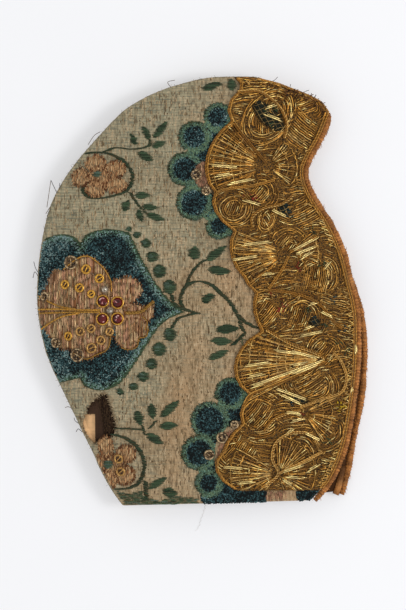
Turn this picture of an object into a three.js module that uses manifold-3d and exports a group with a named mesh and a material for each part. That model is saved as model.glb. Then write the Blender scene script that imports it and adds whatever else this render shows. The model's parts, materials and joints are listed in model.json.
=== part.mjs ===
// Folded bonnet of brocaded silk, lying on its side: two shaped side panels sewn together along one curved
// seam over the crown and down the back, wide gold lace along the open front, a rolled silk binding round the
// front edge, and small rings and red stones sewn to the silk.
// Millimetres, +Z up. The bonnet lies on the plane Z = 0 with its forehead towards +X and its crown towards +Y.
import * as THREE from "three";
import { mergeVertices } from "three/addons/utils/BufferGeometryUtils.js";
import Module from "manifold-3d";

// Driving dimensions
const WALL = 1.6; // silk, interlining and lining sewn into one wall
const SEAM_GAP = 0.3; // between the two turned-in edges at the seam
const SEAM_Z = 10; // height of the seam above the table
const CROWN_Z = 21; // top of the upper panel
const FRONT_Z = 11.5; // upper panel at its open front edge
const HEM_Z = 13.5; // upper panel at its open hem
const UPPER_RISE = 26; // distance from the seam over which the upper panel rounds up
const LOWER_RISE = 20; // distance from the seam over which the lower panel rounds down
const FRONT_REACH = 62; // how far the droop of the front edge reaches into the upper panel
const HEM_REACH = 50; // how far the droop of the hem reaches into the upper panel
const DROOP_BLEND = 4; // how sharply the two droops meet at the front corner of the hem
const HEM_SKEW = 2.5; // the hem's back corner lies this much lower than its front corner
const LOWER_HEM_RAISE = 3; // the lower panel's front corner lies this much higher than the upper panel's
const CROWN_TOP = 106.4; // last section, just under the top of the crown

const LACE_THICK = 1.5; // metal-thread lace with its padded outlines
const SEAT = 0.3; // clearance between a piece and what it is sewn to
const LACE_MARGIN = 0.5; // lace stays this far inside the sewn edges
const LACE_FOOT = -98.8; // lower end of the lace
const LOBE_ROUND = 0.7; // under 1 makes a scallop's lobe fuller than a sine
const LACE_FLAT = [64, 78]; // the lower panel comes down to the table between these distances from the front

const BINDING_RADIUS = 1.5; // rolled binding
const BINDING_SIDES = 10; // flats round the binding
const BINDING_OVERRUN = 2.4; // the binding's end stands out past the forehead seam
const BINDING_STEPS = 44;

const ROWS_SECTION = 2; // wall rows to each section between the hem and the forehead
const ROWS_CROWN = 8; // wall rows from the forehead to the crown
const LACE_ROW = 4.6; // spacing of the lace's rows along its scallops
const COLUMNS = 18; // wall columns from the back to the front
const LACE_COLUMNS = 7;

// Sections from the hem up to the forehead point: height on the bonnet, then where the back seam, the upper
// panel's front edge and the lower panel's front edge lie at that height
const SECTIONS = [
  { y: -104.0, back: -39.5, front: 53.5, lower: 67.8 },
  { y: -94.0, back: -47.0, front: 62.1, lower: 70.2 },
  { y: -78.0, back: -56.0, front: 68.9, lower: 73.0 },
  { y: -62.0, back: -64.6, front: 72.2, lower: 76.4 },
  { y: -46.0, back: -71.3, front: 74.5, lower: 78.4 },
  { y: -29.5, back: -77.6, front: 75.7, lower: 78.9 },
  { y: -10.0, back: -81.7, front: 75.2, lower: 76.6 },
  { y: 4.7, back: -82.0, front: 71.8, lower: 71.8 },
  { y: 19.4, back: -80.7, front: 67.9, lower: 67.9 },
  { y: 33.9, back: -78.0, front: 61.1, lower: 61.1 },
  { y: 43.8, back: -75.1, front: 54.6, lower: 54.6 },
  { y: 53.5, back: -70.1, front: 49.9, lower: 49.9 },
  { y: 61.0, back: -65.0, front: 49.2, lower: 49.2 },
  { y: 67.6, back: -59.8, front: 52.1, lower: 52.1 },
  { y: 77.0, back: -51.3, front: 57.5, lower: 57.5 },
  { y: 88.8, back: -39.8, front: 62.3, lower: 62.3 },
];
// Sections above the forehead point, where the seam closes both ends
const CROWN_SECTIONS = [
  { y: 94.5, back: -31.0, front: 57.6 },
  { y: 100.0, back: -19.0, front: 47.6 },
  { y: 104.0, back: -4.6, front: 37.6 },
  { y: CROWN_TOP, back: 7.5, front: 25.5 },
];
// Scalloped inner edge of the lace, from the crown down: each scallop's upper notch, and how far its lobe
// stands out from the line between its two notches
const SCALLOPS = [
  { y: 107.0, notch: 13.3, lobe: -2.4 },
  { y: 98.8, notch: 18.0, lobe: 3.6 },
  { y: 83.5, notch: 13.8, lobe: 8.2 },
  { y: 48.5, notch: 5.5, lobe: 4.6 },
  { y: 29.5, notch: 15.0, lobe: 4.0 },
  { y: 6.8, notch: 19.7, lobe: 0.8 },
  { y: -1.0, notch: 25.5, lobe: 2.2 },
  { y: -20.0, notch: 28.5, lobe: 10.4 },
  { y: -51.4, notch: 23.0, lobe: 2.6 },
  { y: -65.5, notch: 19.0, lobe: 1.4 },
  { y: -79.0, notch: 9.5, lobe: 7.0 },
  { y: LACE_FOOT, notch: 17.0, lobe: 0 },
];
// Soft folds pressed into the upper panel: a crease line across the silk, its depth and its half width
const FOLDS = [
  { x: -19, from: 36, to: 76, depth: 0.5, half: 7 },
  { x: -8, from: -80, to: -22, depth: 0.6, half: 9 },
  { x: -66, from: 18, to: 58, depth: 0.5, half: 8 },
];
// Worn place near the nape: outline of the hole in the silk
const HOLE = [
  { x: -49.5, y: -50.6 },
  { x: -47.0, y: -51.6 },
  { x: -44.4, y: -60.0 },
  { x: -42.6, y: -67.0 },
  { x: -45.6, y: -73.6 },
  { x: -51.0, y: -75.0 },
  { x: -52.6, y: -75.6 },
  { x: -56.4, y: -70.4 },
  { x: -58.8, y: -64.0 },
  { x: -57.6, y: -58.6 },
  { x: -53.6, y: -53.0 },
];
const HOLE_MARGIN = 1.1; // the layers under the hole reach this much further than it does
const INTERLINING_THICK = 1.0;
const STIFFENER_THICK = 1.0;
const WINDOW_EDGE = -53.4; // the interlining is torn away between this line and the back seam
const WINDOW_TOP = -61.0;
const WINDOW_REACH = 20; // length of the cut towards the seam

// Rings sewn to the silk, by their middle and outer diameter
const GOLD_RINGS = [
  { x: -57.4, y: 10.5, across: 5.2 },
  { x: -51.0, y: 6.0, across: 5.0 },
  { x: -67.4, y: 3.0, across: 5.2 },
  { x: -60.6, y: 1.4, across: 5.0 },
  { x: -55.0, y: -1.6, across: 4.4 },
  { x: -65.8, y: -22.2, across: 5.0 },
  { x: -60.2, y: -20.0, across: 5.0 },
  { x: -54.9, y: -18.6, across: 4.8 },
  { x: -50.3, y: -24.4, across: 5.0 },
  { x: -54.7, y: -28.2, across: 5.6 },
  { x: -46.0, y: -20.2, across: 4.6 },
  { x: -41.2, y: -82.6, across: 5.2 },
  { x: -40.2, y: -89.0, across: 5.2 },
];
const GLASS_RINGS = [
  { x: -64.5, y: 13.8, across: 7.8 },
  { x: -61.4, y: -31.5, across: 7.8 },
  { x: -71.8, y: -25.4, across: 6.4 },
  { x: -77.4, y: -2.8, across: 5.6 },
  { x: -3.4, y: 57.2, across: 5.6 },
  { x: 1.4, y: 49.2, across: 5.0 },
  { x: 9.4, y: -72.2, across: 6.0 },
  { x: 3.0, y: -80.6, across: 5.6 },
  { x: 15.6, y: -65.8, across: 4.6 },
];
const RING_WIRE = 0.9; // thickness of a wound-wire ring
const RING_SEGMENTS = 12;
// Red stones round a small clear bead, in gold collets
const STONES = [
  { x: -49.4, y: -5.2 },
  { x: -42.1, y: -5.9 },
  { x: -49.6, y: -13.9 },
  { x: -42.2, y: -13.8 },
];
const STONE_ACROSS = 4.9;
const STONE_HIGH = 1.9;
const COLLET_ACROSS = 6.6;
const COLLET_HIGH = 1.1;
const BEADS = [
  { x: -45.9, y: -9.8, across: 4.0 },
  { x: -48.4, y: 0.5, across: 4.0 },
];
const BEAD_HIGH = 2.2;

const MATERIALS = {
  brocade: new THREE.MeshStandardMaterial({ color: 0xa8967a, roughness: 0.75, metalness: 0 }),
  goldLace: new THREE.MeshStandardMaterial({ color: 0x8a6a2c, roughness: 0.45, metalness: 0.6 }),
  binding: new THREE.MeshStandardMaterial({ color: 0xa5692e, roughness: 0.85, metalness: 0 }),
  interlining: new THREE.MeshStandardMaterial({ color: 0x2c1c14, roughness: 0.95, metalness: 0 }),
  stiffener: new THREE.MeshStandardMaterial({ color: 0xd9ab78, roughness: 0.9, metalness: 0 }),
  goldWire: new THREE.MeshStandardMaterial({ color: 0xb98a35, roughness: 0.35, metalness: 0.9 }),
  glass: new THREE.MeshStandardMaterial({ color: 0x9a8f82, roughness: 0.15, metalness: 0.1 }),
  redStone: new THREE.MeshStandardMaterial({ color: 0x6e0f22, roughness: 0.1, metalness: 0 }),
};

const wasm = await Module();
wasm.setup();

const mix = (a, b, t) => a + (b - a) * t;
const clamp01 = (t) => Math.min(1, Math.max(0, t));
const smooth = (t) => clamp01(t) ** 2 * (3 - 2 * clamp01(t));
const rounding = (t) => Math.sin((clamp01(t) * Math.PI) / 2);

// A smooth curve through one column of a table, as a function of the rows' y
function columnCurve(rows, name) {
  const slope = (i) => {
    const a = rows[Math.max(0, i - 1)];
    const b = rows[Math.min(rows.length - 1, i + 1)];
    return (b[name] - a[name]) / (b.y - a.y);
  };
  return (y) => {
    const i = Math.max(0, rows.slice(1, -1).filter((row) => row.y <= y).length);
    const step = rows[i + 1].y - rows[i].y;
    const t = clamp01((y - rows[i].y) / step);
    const [a, b] = [rows[i][name], rows[i + 1][name]];
    const bend = t * (1 - t) * step;
    return mix(a, b, smooth(t)) + bend * ((1 - t) * slope(i) - t * slope(i + 1));
  };
}

const FOREHEAD = SECTIONS.at(-1);
const HEM_Y = SECTIONS[0].y;
const backAt = columnCurve([...SECTIONS, ...CROWN_SECTIONS], "back");
const topSeamAt = columnCurve([FOREHEAD, ...CROWN_SECTIONS], "front");
const frontBelow = { upper: columnCurve(SECTIONS, "front"), lower: columnCurve(SECTIONS, "lower") };
const frontAt = (panel, y) => (y <= FOREHEAD.y ? frontBelow[panel](y) : topSeamAt(y));

// Even steps from one value towards another, the last one left out
const stepsBetween = (from, to, count) => Array.from({ length: count }, (_, i) => mix(from, to, i / count));

// The heights at which a panel has a row of points
const HEIGHTS = [
  ...SECTIONS.slice(1).flatMap((row, i) => stepsBetween(SECTIONS[i].y, row.y, ROWS_SECTION)),
  ...stepsBetween(0, 1, ROWS_CROWN).map((t) => mix(FOREHEAD.y, CROWN_TOP, rounding(t))),
  CROWN_TOP,
];

// A point of the plan: y gives the section and u runs from the back seam to the front edge
function planPoint(panel, y, u) {
  const up = clamp01((y - HEM_Y) / (FOREHEAD.y - HEM_Y));
  const x = mix(backAt(y), frontAt(panel, y), u);
  const raise = panel === "lower" ? LOWER_HEM_RAISE : 0;
  return new THREE.Vector2(x, y + mix(-HEM_SKEW, raise, u) * (1 - up));
}

// Plan lines that the heights are measured from
const SEAM_LINE = [
  ...HEIGHTS.map((y) => planPoint("upper", y, 0)),
  ...HEIGHTS.filter((y) => y >= FOREHEAD.y).map((y) => planPoint("upper", y, 1)).reverse(),
];
const FRONT_LINES = Object.fromEntries(
  ["upper", "lower"].map((panel) => [
    panel,
    HEIGHTS.filter((y) => y <= FOREHEAD.y).map((y) => planPoint(panel, y, 1)),
  ]),
);
const HEM_LINE = [planPoint("upper", HEM_Y, 0), planPoint("upper", HEM_Y, 1)];

// Distance in the plan from a point to a line of points
function distanceTo(line, point) {
  let best = Infinity;
  for (let i = 0; i + 1 < line.length; i++) {
    const along = line[i + 1].clone().sub(line[i]);
    const t = clamp01(point.clone().sub(line[i]).dot(along) / along.lengthSq());
    best = Math.min(best, point.distanceTo(line[i].clone().addScaledVector(along, t)));
  }
  return best;
}

function foldDepth(point) {
  return FOLDS.reduce((sum, fold) => {
    const across = (point.x - fold.x) / fold.half;
    const along = clamp01((point.y - fold.from) / (fold.to - fold.from));
    return sum + fold.depth * Math.exp(-across * across) * Math.sin(Math.PI * along) ** 2;
  }, 0);
}

// Height of the upper panel's outer face
function upperTop(point) {
  const frontDroop = (CROWN_Z - FRONT_Z) * (1 - rounding(distanceTo(FRONT_LINES.upper, point) / FRONT_REACH));
  const hemDroop = (CROWN_Z - HEM_Z) * (1 - rounding(distanceTo(HEM_LINE, point) / HEM_REACH));
  const body = CROWN_Z - (frontDroop ** DROOP_BLEND + hemDroop ** DROOP_BLEND) ** (1 / DROOP_BLEND) - foldDepth(point);
  const rise = rounding(distanceTo(SEAM_LINE, point) / UPPER_RISE);
  return mix(SEAM_Z + SEAM_GAP / 2 + WALL, body, rise);
}

// Height of the lower panel's outer face: on the table at the back, and lifted by its lace at the front
function lowerBottom(point) {
  const [near, far] = LACE_FLAT;
  const lift = 1 - smooth((distanceTo(FRONT_LINES.upper, point) - near) / (far - near));
  const fall = rounding(distanceTo(SEAM_LINE, point) / LOWER_RISE);
  return mix(SEAM_Z - SEAM_GAP / 2 - WALL, lift * (LACE_THICK + SEAT), fall);
}

// A closed wall between two faces over a grid of plan points, low and high being heights over a point
function drapedWall(grid, low, high) {
  const rows = grid.length;
  const columns = grid[0].length;
  const place = (height) => grid.flat().flatMap((p) => [p.x, p.y, height(p)]);
  const at = (face, i, j) => face * rows * columns + i * columns + j;
  const index = [];
  const quad = (a, b, c, d) => index.push(a, b, c, a, c, d);
  for (let i = 0; i + 1 < rows; i++) {
    for (let j = 0; j + 1 < columns; j++) {
      quad(at(0, i, j), at(0, i + 1, j), at(0, i + 1, j + 1), at(0, i, j + 1));
      quad(at(1, i, j), at(1, i, j + 1), at(1, i + 1, j + 1), at(1, i + 1, j));
    }
    const last = columns - 1;
    quad(at(0, i, 0), at(1, i, 0), at(1, i + 1, 0), at(0, i + 1, 0));
    quad(at(0, i, last), at(0, i + 1, last), at(1, i + 1, last), at(1, i, last));
  }
  for (let j = 0; j + 1 < columns; j++) {
    const last = rows - 1;
    quad(at(0, 0, j), at(0, 0, j + 1), at(1, 0, j + 1), at(1, 0, j));
    quad(at(0, last, j), at(1, last, j), at(1, last, j + 1), at(0, last, j + 1));
  }
  const geometry = new THREE.BufferGeometry();
  geometry.setAttribute("position", new THREE.Float32BufferAttribute([...place(low), ...place(high)], 3));
  return geometry.setIndex(index);
}

function panelGrid(panel) {
  const turns = [...stepsBetween(0, Math.PI, COLUMNS), Math.PI];
  const shares = turns.map((turn) => 0.5 - 0.5 * Math.cos(turn));
  return HEIGHTS.map((y) => shares.map((u) => planPoint(panel, y, u)));
}

function asSolid(geometry) {
  const bare = geometry.clone();
  bare.deleteAttribute("normal");
  bare.deleteAttribute("uv");
  const merged = mergeVertices(bare, 1e-4);
  return new wasm.Manifold(
    new wasm.Mesh({
      numProp: 3,
      vertProperties: merged.attributes.position.array,
      triVerts: new Uint32Array(merged.index.array),
    }),
  );
}

function asGeometry(solid) {
  const mesh = solid.getMesh();
  return new THREE.BufferGeometry()
    .setAttribute("position", new THREE.BufferAttribute(mesh.vertProperties, mesh.numProp))
    .setIndex(new THREE.BufferAttribute(mesh.triVerts, 1));
}

// An upright block over an outline in the plan, tall enough to pass through every layer
function uprightBlock(outline) {
  const shape = new THREE.Shape(outline.map((p) => new THREE.Vector2(p.x, p.y)));
  return asSolid(new THREE.ExtrudeGeometry(shape, { depth: 2 * CROWN_Z, bevelEnabled: false }));
}

function widened(outline, times) {
  const middle = { x: 0, y: 0 };
  for (const p of outline) {
    middle.x += p.x / outline.length;
    middle.y += p.y / outline.length;
  }
  return outline.map((p) => ({ x: mix(middle.x, p.x, times), y: mix(middle.y, p.y, times) }));
}

const group = new THREE.Group();
function add(name, geometry, material) {
  const mesh = new THREE.Mesh(geometry, MATERIALS[material]);
  mesh.name = name;
  group.add(mesh);
  return mesh;
}

// Side panels
const upperGrid = panelGrid("upper");
const upperLow = (p) => upperTop(p) - WALL;
const upperWall = asSolid(drapedWall(upperGrid, upperLow, upperTop));
add("side_panel_upper", asGeometry(upperWall.subtract(uprightBlock(HOLE))), "brocade");
const lowerHigh = (p) => lowerBottom(p) + WALL;
add("side_panel_lower", drapedWall(panelGrid("lower"), lowerBottom, lowerHigh), "brocade");

// Layers that show through the worn place
function underLayer(top, thick) {
  const layer = drapedWall(upperGrid, (p) => upperLow(p) - top - thick, (p) => upperLow(p) - top);
  return asSolid(layer).intersect(uprightBlock(widened(HOLE, HOLE_MARGIN)));
}
const tornAway = uprightBlock([
  { x: WINDOW_EDGE, y: WINDOW_TOP },
  { x: WINDOW_EDGE - WINDOW_REACH, y: WINDOW_TOP },
  { x: WINDOW_EDGE - WINDOW_REACH, y: WINDOW_TOP - WINDOW_REACH },
  { x: WINDOW_EDGE, y: WINDOW_TOP - WINDOW_REACH },
]);
add("interlining", asGeometry(underLayer(SEAT, INTERLINING_THICK).subtract(tornAway)), "interlining");
const stiffenerTop = 2 * SEAT + INTERLINING_THICK;
add("stiffener", asGeometry(underLayer(stiffenerTop, STIFFENER_THICK)), "stiffener");

// Lace
function laceEdgeAt(y) {
  const i = Math.max(0, SCALLOPS.slice(1, -1).filter((row) => row.y >= y).length);
  const t = clamp01((y - SCALLOPS[i].y) / (SCALLOPS[i + 1].y - SCALLOPS[i].y));
  const notchLine = mix(SCALLOPS[i].notch, SCALLOPS[i + 1].notch, t);
  return notchLine - SCALLOPS[i].lobe * Math.sin(Math.PI * t) ** LOBE_ROUND;
}
function laceGrid(panel) {
  const heights = SCALLOPS.slice(1).flatMap((row, i) => {
    const upper = Math.min(SCALLOPS[i].y, CROWN_TOP - LACE_MARGIN);
    return stepsBetween(upper, row.y, Math.max(2, Math.round((upper - row.y) / LACE_ROW)));
  });
  return [...heights, LACE_FOOT].reverse().map((y) => {
    const from = Math.max(laceEdgeAt(y), backAt(y) + LACE_MARGIN);
    const to = frontAt(panel, y) - LACE_MARGIN;
    return [...stepsBetween(from, to, LACE_COLUMNS), to].map((x) => new THREE.Vector2(x, y));
  });
}
const overUpper = (p) => upperTop(p) + SEAT;
add("gold_lace_upper", drapedWall(laceGrid("upper"), overUpper, (p) => overUpper(p) + LACE_THICK), "goldLace");
const underLower = (p) => lowerBottom(p) - SEAT;
add("gold_lace_lower", drapedWall(laceGrid("lower"), (p) => underLower(p) - LACE_THICK, underLower), "goldLace");

// Rolled binding beside each panel's front edge
function bindingRoute(panel, height) {
  const line = FRONT_LINES[panel];
  const directions = line.map((_, i) =>
    line[Math.min(i + 1, line.length - 1)].clone().sub(line[Math.max(i - 1, 0)]).normalize(),
  );
  const out = BINDING_RADIUS + SEAT;
  const route = line.map(
    (p, i) => new THREE.Vector3(p.x + directions[i].y * out, p.y - directions[i].x * out, height(p)),
  );
  const end = directions.at(-1).clone().multiplyScalar(BINDING_OVERRUN);
  return [...route, route.at(-1).clone().add(new THREE.Vector3(end.x, end.y, 0))];
}
function binding(name, panel, height) {
  const route = new THREE.CatmullRomCurve3(bindingRoute(panel, height));
  const section = new THREE.Shape().absarc(0, 0, BINDING_RADIUS, 0, 2 * Math.PI);
  const settings = { steps: BINDING_STEPS, extrudePath: route, curveSegments: BINDING_SIDES / 2 };
  add(name, new THREE.ExtrudeGeometry(section, settings), "binding");
}
const clearOfSeam = BINDING_RADIUS + SEAT / 2;
const leaveSeam = (p) => rounding(distanceTo(SEAM_LINE, p) / LOWER_RISE);
const upperMiddle = (p) => mix(SEAM_Z + clearOfSeam, upperTop(p) - WALL / 2, leaveSeam(p));
const lowerMiddle = (p) => mix(SEAM_Z - clearOfSeam, lowerBottom(p) + WALL / 2, leaveSeam(p));
binding("front_binding_upper", "upper", upperMiddle);
binding("front_binding_lower", "lower", lowerMiddle);

// Trim sewn to the upper panel, each piece turned to lie on the silk
function sewOn(mesh, place) {
  const step = 0.5;
  const high = (dx, dy) => upperTop(new THREE.Vector2(place.x + dx, place.y + dy));
  const slopeX = (high(step, 0) - high(-step, 0)) / (2 * step);
  const slopeY = (high(0, step) - high(0, -step)) / (2 * step);
  const normal = new THREE.Vector3(-slopeX, -slopeY, 1).normalize();
  mesh.quaternion.setFromUnitVectors(new THREE.Vector3(0, 0, 1), normal);
  mesh.position.set(place.x, place.y, high(0, 0)).addScaledVector(normal, SEAT);
}
// A turned piece with its axis along Z, from a profile of radius and height
function turned(profile, segments) {
  const points = profile.map(([radius, height]) => new THREE.Vector2(radius, height));
  return new THREE.LatheGeometry(points, segments).rotateX(Math.PI / 2);
}
function ring(across) {
  const outer = across / 2;
  const inner = outer - RING_WIRE;
  const middle = outer - RING_WIRE / 2;
  return turned(
    [[inner, RING_WIRE / 2], [middle, 0], [outer, RING_WIRE / 2], [middle, RING_WIRE], [inner, RING_WIRE / 2]],
    RING_SEGMENTS,
  );
}
GOLD_RINGS.forEach((place, i) => sewOn(add(`gold_ring_${i + 1}`, ring(place.across), "goldWire"), place));
GLASS_RINGS.forEach((place, i) => sewOn(add(`glass_ring_${i + 1}`, ring(place.across), "glass"), place));

function collet() {
  const outer = COLLET_ACROSS / 2;
  const inner = STONE_ACROSS / 2 + SEAT;
  return turned([[inner, 0], [outer, 0], [outer, COLLET_HIGH], [inner, COLLET_HIGH], [inner, 0]], RING_SEGMENTS);
}
function stone() {
  const radius = STONE_ACROSS / 2;
  return turned(
    [[0, 0], [radius, 0], [radius, STONE_HIGH * 0.4], [radius * 0.6, STONE_HIGH * 0.85], [0, STONE_HIGH]],
    RING_SEGMENTS,
  );
}
function bead(across) {
  const radius = across / 2;
  return turned(
    [[0, 0], [radius * 0.7, 0], [radius, BEAD_HIGH / 2], [radius * 0.7, BEAD_HIGH], [0, BEAD_HIGH]],
    RING_SEGMENTS,
  );
}
STONES.forEach((place, i) => {
  sewOn(add(`stone_collet_${i + 1}`, collet(), "goldWire"), place);
  sewOn(add(`red_stone_${i + 1}`, stone(), "redStone"), place);
});
BEADS.forEach((place, i) => sewOn(add(`clear_bead_${i + 1}`, bead(place.across), "glass"), place));

// The origin is on the table under the middle of the bonnet
const box = new THREE.Box3().setFromObject(group, true);
const middle = box.getCenter(new THREE.Vector3());
group.position.set(-middle.x, -middle.y, -box.min.z);

export default new THREE.Group().add(group);
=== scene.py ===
import json
import math
from functools import lru_cache

import bmesh
import bpy
import numpy as np
from bpy.props import FloatProperty, FloatVectorProperty, PointerProperty
from bpy.types import Operator, Panel, PropertyGroup, Scene
from mathutils import Matrix, Vector
from mathutils.bvhtree import BVHTree

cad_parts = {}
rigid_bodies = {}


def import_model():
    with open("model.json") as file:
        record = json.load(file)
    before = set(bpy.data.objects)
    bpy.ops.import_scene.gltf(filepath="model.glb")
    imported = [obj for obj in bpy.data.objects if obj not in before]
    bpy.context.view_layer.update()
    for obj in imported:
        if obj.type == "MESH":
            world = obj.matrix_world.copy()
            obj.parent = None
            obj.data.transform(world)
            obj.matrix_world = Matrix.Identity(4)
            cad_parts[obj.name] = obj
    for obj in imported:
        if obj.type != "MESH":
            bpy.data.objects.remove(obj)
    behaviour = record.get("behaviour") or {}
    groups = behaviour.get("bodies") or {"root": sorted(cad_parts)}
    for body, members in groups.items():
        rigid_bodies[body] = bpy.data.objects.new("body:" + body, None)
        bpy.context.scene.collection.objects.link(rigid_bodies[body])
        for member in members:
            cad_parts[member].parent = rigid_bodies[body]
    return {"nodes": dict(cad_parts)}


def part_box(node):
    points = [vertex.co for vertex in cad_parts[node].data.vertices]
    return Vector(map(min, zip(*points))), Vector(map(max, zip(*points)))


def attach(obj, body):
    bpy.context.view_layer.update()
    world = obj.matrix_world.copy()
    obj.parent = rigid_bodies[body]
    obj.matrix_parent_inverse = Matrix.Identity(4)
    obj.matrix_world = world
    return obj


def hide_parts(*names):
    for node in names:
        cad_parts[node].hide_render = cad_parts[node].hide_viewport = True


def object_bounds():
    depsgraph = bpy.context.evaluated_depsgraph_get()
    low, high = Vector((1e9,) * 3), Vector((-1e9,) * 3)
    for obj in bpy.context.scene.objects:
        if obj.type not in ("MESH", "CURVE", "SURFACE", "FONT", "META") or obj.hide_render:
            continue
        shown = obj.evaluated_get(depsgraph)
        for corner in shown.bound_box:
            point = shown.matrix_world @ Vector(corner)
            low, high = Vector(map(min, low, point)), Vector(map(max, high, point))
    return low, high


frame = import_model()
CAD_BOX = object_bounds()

bl_info = {
    "name": "Embroidered bonnet",
    "version": (1, 0, 0),
    "blender": (4, 5, 0),
    "location": "3D View > Sidebar > Bonnet",
    "description": "Silk, stitching, pile, gold lace and trims of a folded embroidered bonnet",
    "category": "Object",
}

# Lengths below are millimetres on the bonnet, and MM turns them into Blender's metres
MM = 0.001
NODES = frame["nodes"]

# The photograph looks straight down, so a pixel of it is a place on the bonnet
PHOTO_PIXELS = (406, 610)
MM_PER_PIXEL = 0.5
ORIGIN_PIXEL = np.array((203.0, 291.0))

# Seeds of the random work
SEEDS = {
    "tear": 11, "worn place": 5, "leaves": 21, "pile": 33, "petals": 45, "slubs": 57, "cords": 63, "lace": 71,
    "binding": 83, "seam": 97, "wire rings": 101, "glass rings": 103, "stones": 107,
}
UP = (0, 0, 1)

# Cloth
WALL = 1.6
SEAM_HEIGHT = 10.0
PANEL_PITCH = 1.2
LOWER_PITCH = 2.2
LACE_GROUND = (0.75, 0.3)  # lifts of the lace ground's two faces
LACE_GROUND_PITCH = 1.5
HEIGHT_SOFTENING = 12  # smoothing passes over the CAD facets

# Leaves of the brocade: middle in pixels, then length, width and turn
LEAVES = [
    (134, 141, 6.4, 3.6, 120), (147, 135, 7.5, 4.0, 117), (161, 132, 11.0, 3.8, 48),
    (159.5, 146.5, 8.0, 3.5, 15), (146, 158.5, 9.0, 4.2, -26), (143, 197, 8.0, 3.5, 0),
    (127, 207, 6.0, 4.5, 60), (151, 208.5, 8.8, 3.2, -5), (141, 217, 6.5, 4.0, -70),
    (156, 218, 10.5, 3.5, -18), (139.5, 416.3, 7.4, 5.0, -70), (152.8, 410, 7.6, 4.8, -82),
    (170.5, 407, 12.5, 4.5, 40), (169, 424, 9.5, 4.0, 3), (155.5, 437, 10.0, 4.5, -27),
    (158, 481, 11.0, 4.0, 30), (170.5, 490.5, 8.0, 5.0, -10), (212, 88.3, 11.0, 4.0, 15),
    (231.5, 87, 6.5, 5.0, 100), (194.5, 253.5, 7.0, 6.5, 75), (216, 254, 12.5, 4.5, 34),
    (219, 271, 12.5, 4.5, -5), (208, 298.3, 8.0, 4.5, 25), (227, 328.6, 12.5, 4.5, 3),
    (221.5, 340.6, 11.5, 4.2, -2), (218.5, 354, 11.5, 3.8, 22),
]
# Berries beside the great flower: middle in pixels, then width and height
BERRIES = [
    (130, 230, 3.0, 2.6), (138.4, 236, 4.0, 3.2), (146.7, 244, 5.4, 4.4), (153, 257.3, 6.4, 5.2),
    (160, 271.7, 7.2, 6.4), (170, 287, 7.4, 7.2), (170.3, 334, 6.6, 6.6), (160, 348.3, 7.4, 6.8),
    (152.3, 363, 6.2, 5.6), (144.3, 375.7, 6.4, 5.0), (134.3, 385.3, 5.0, 3.6), (121.2, 390.8, 4.0, 3.4),
]
# Green eyes of the two small flowers: middle in pixels, then width and height
FLOWER_EYES = [(99, 176, 4.8, 2.8), (109, 462.5, 5.0, 4.2)]
# Stems and rings of the brocade: width, then the pixels that they pass through
STEMS = [
    (1.6, [(84, 187), (86, 195), (96, 200), (112, 198), (126, 193), (132.5, 185), (132.5, 174),
           (124.5, 163), (111.5, 156), (97, 153.7), (85, 155.5)]),
    (1.3, [(107, 153), (116.5, 149.7), (135.5, 151.3), (147, 149), (152, 145)]),
    (1.0, [(151, 147), (150, 140)]),
    (1.2, [(130.8, 194), (138.8, 206), (147, 214.5)]),
    (1.8, [(115.6, 433), (126, 436.3), (137.2, 444.3), (144.3, 457), (144.3, 470), (138.8, 481),
           (129, 486.5), (115.6, 487.5)]),
    (1.2, [(118.8, 426.7), (131, 427), (143.5, 428)]),
    (1.1, [(143, 423), (145.5, 433)]),
    (1.0, [(150, 427), (157, 419)]),
    (2.0, [(146, 479), (147, 498)]),
    (1.8, [(197, 313), (190, 311), (183, 307), (181, 298), (186.4, 286.4), (197.5, 281.6), (210.3, 284.8),
           (220, 293), (229.5, 302.5), (237.5, 315), (247, 323), (260, 329.5)]),
    (1.6, [(237.5, 315), (241, 327), (243.5, 333), (237, 340), (232.5, 344)]),
    (1.3, [(205, 260.5), (199, 265), (192, 273), (188, 282), (186, 288)]),
    (1.6, [(172, 295), (175, 304), (184, 309.5), (196, 312.7)]),
    (1.5, [(172, 328), (178, 319), (186, 315.5), (196, 313)]),
]
# The great flower's outline in four strokes that meet in points
GREAT_FLOWER = [
    [(43.4, 244), (51.7, 239), (61.8, 236.2), (71.8, 237.8), (78.5, 243.4), (82.4, 249)],
    [(82.4, 249), (84.6, 243.4), (90.8, 236.7), (99.7, 232.6), (110.9, 231.1), (122, 232.8), (129.8, 237.8),
     (138.8, 256.2), (153.3, 281.9), (169, 302), (180, 311)],
    [(180, 312), (167.5, 317.5), (156.3, 327.8), (143.5, 347), (132.4, 364.5), (121.2, 378.9), (111.6, 385.3),
     (102, 388.5), (89.3, 384.5), (83, 375.7)],
    [(83, 375.7), (71.8, 378.1), (60.6, 381.3), (54, 382)],
]
GREAT_FLOWER_SEAM = [(36, 330), (34, 280)]  # where the seam cuts the flower
PETAL_MIDDLE = (122, 311)
# Petals filled with upright tan threads
GREAT_PETALS = {
    "fan": [(38, 303), (46.7, 289.7), (55, 272.4), (68, 270), (80, 259), (89.7, 256.8), (97.5, 261.8),
            (106.4, 269.6), (112, 280.8), (113, 296), (116, 311), (115, 325), (113, 336.6), (108.6, 348.8),
            (97.5, 354.4), (88.6, 358.9), (80, 357), (73, 349), (62, 348), (55, 340), (48, 332), (39, 317.6)],
    "upper heart": [(112, 284), (121, 279), (130, 277), (139, 282), (143.5, 290), (139, 297), (133, 304),
                    (118, 308)],
    "lower heart": [(117, 325), (124, 316), (140, 313), (147, 321), (149, 328), (146.6, 335.5), (140, 338),
                    (137.6, 345.5), (130, 349), (122, 346.6), (117, 338)],
    "tongue": [(118, 305), (135, 304), (146, 306), (153, 304), (154, 314), (148, 322), (138, 318),
               (118, 318)],
}
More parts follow.
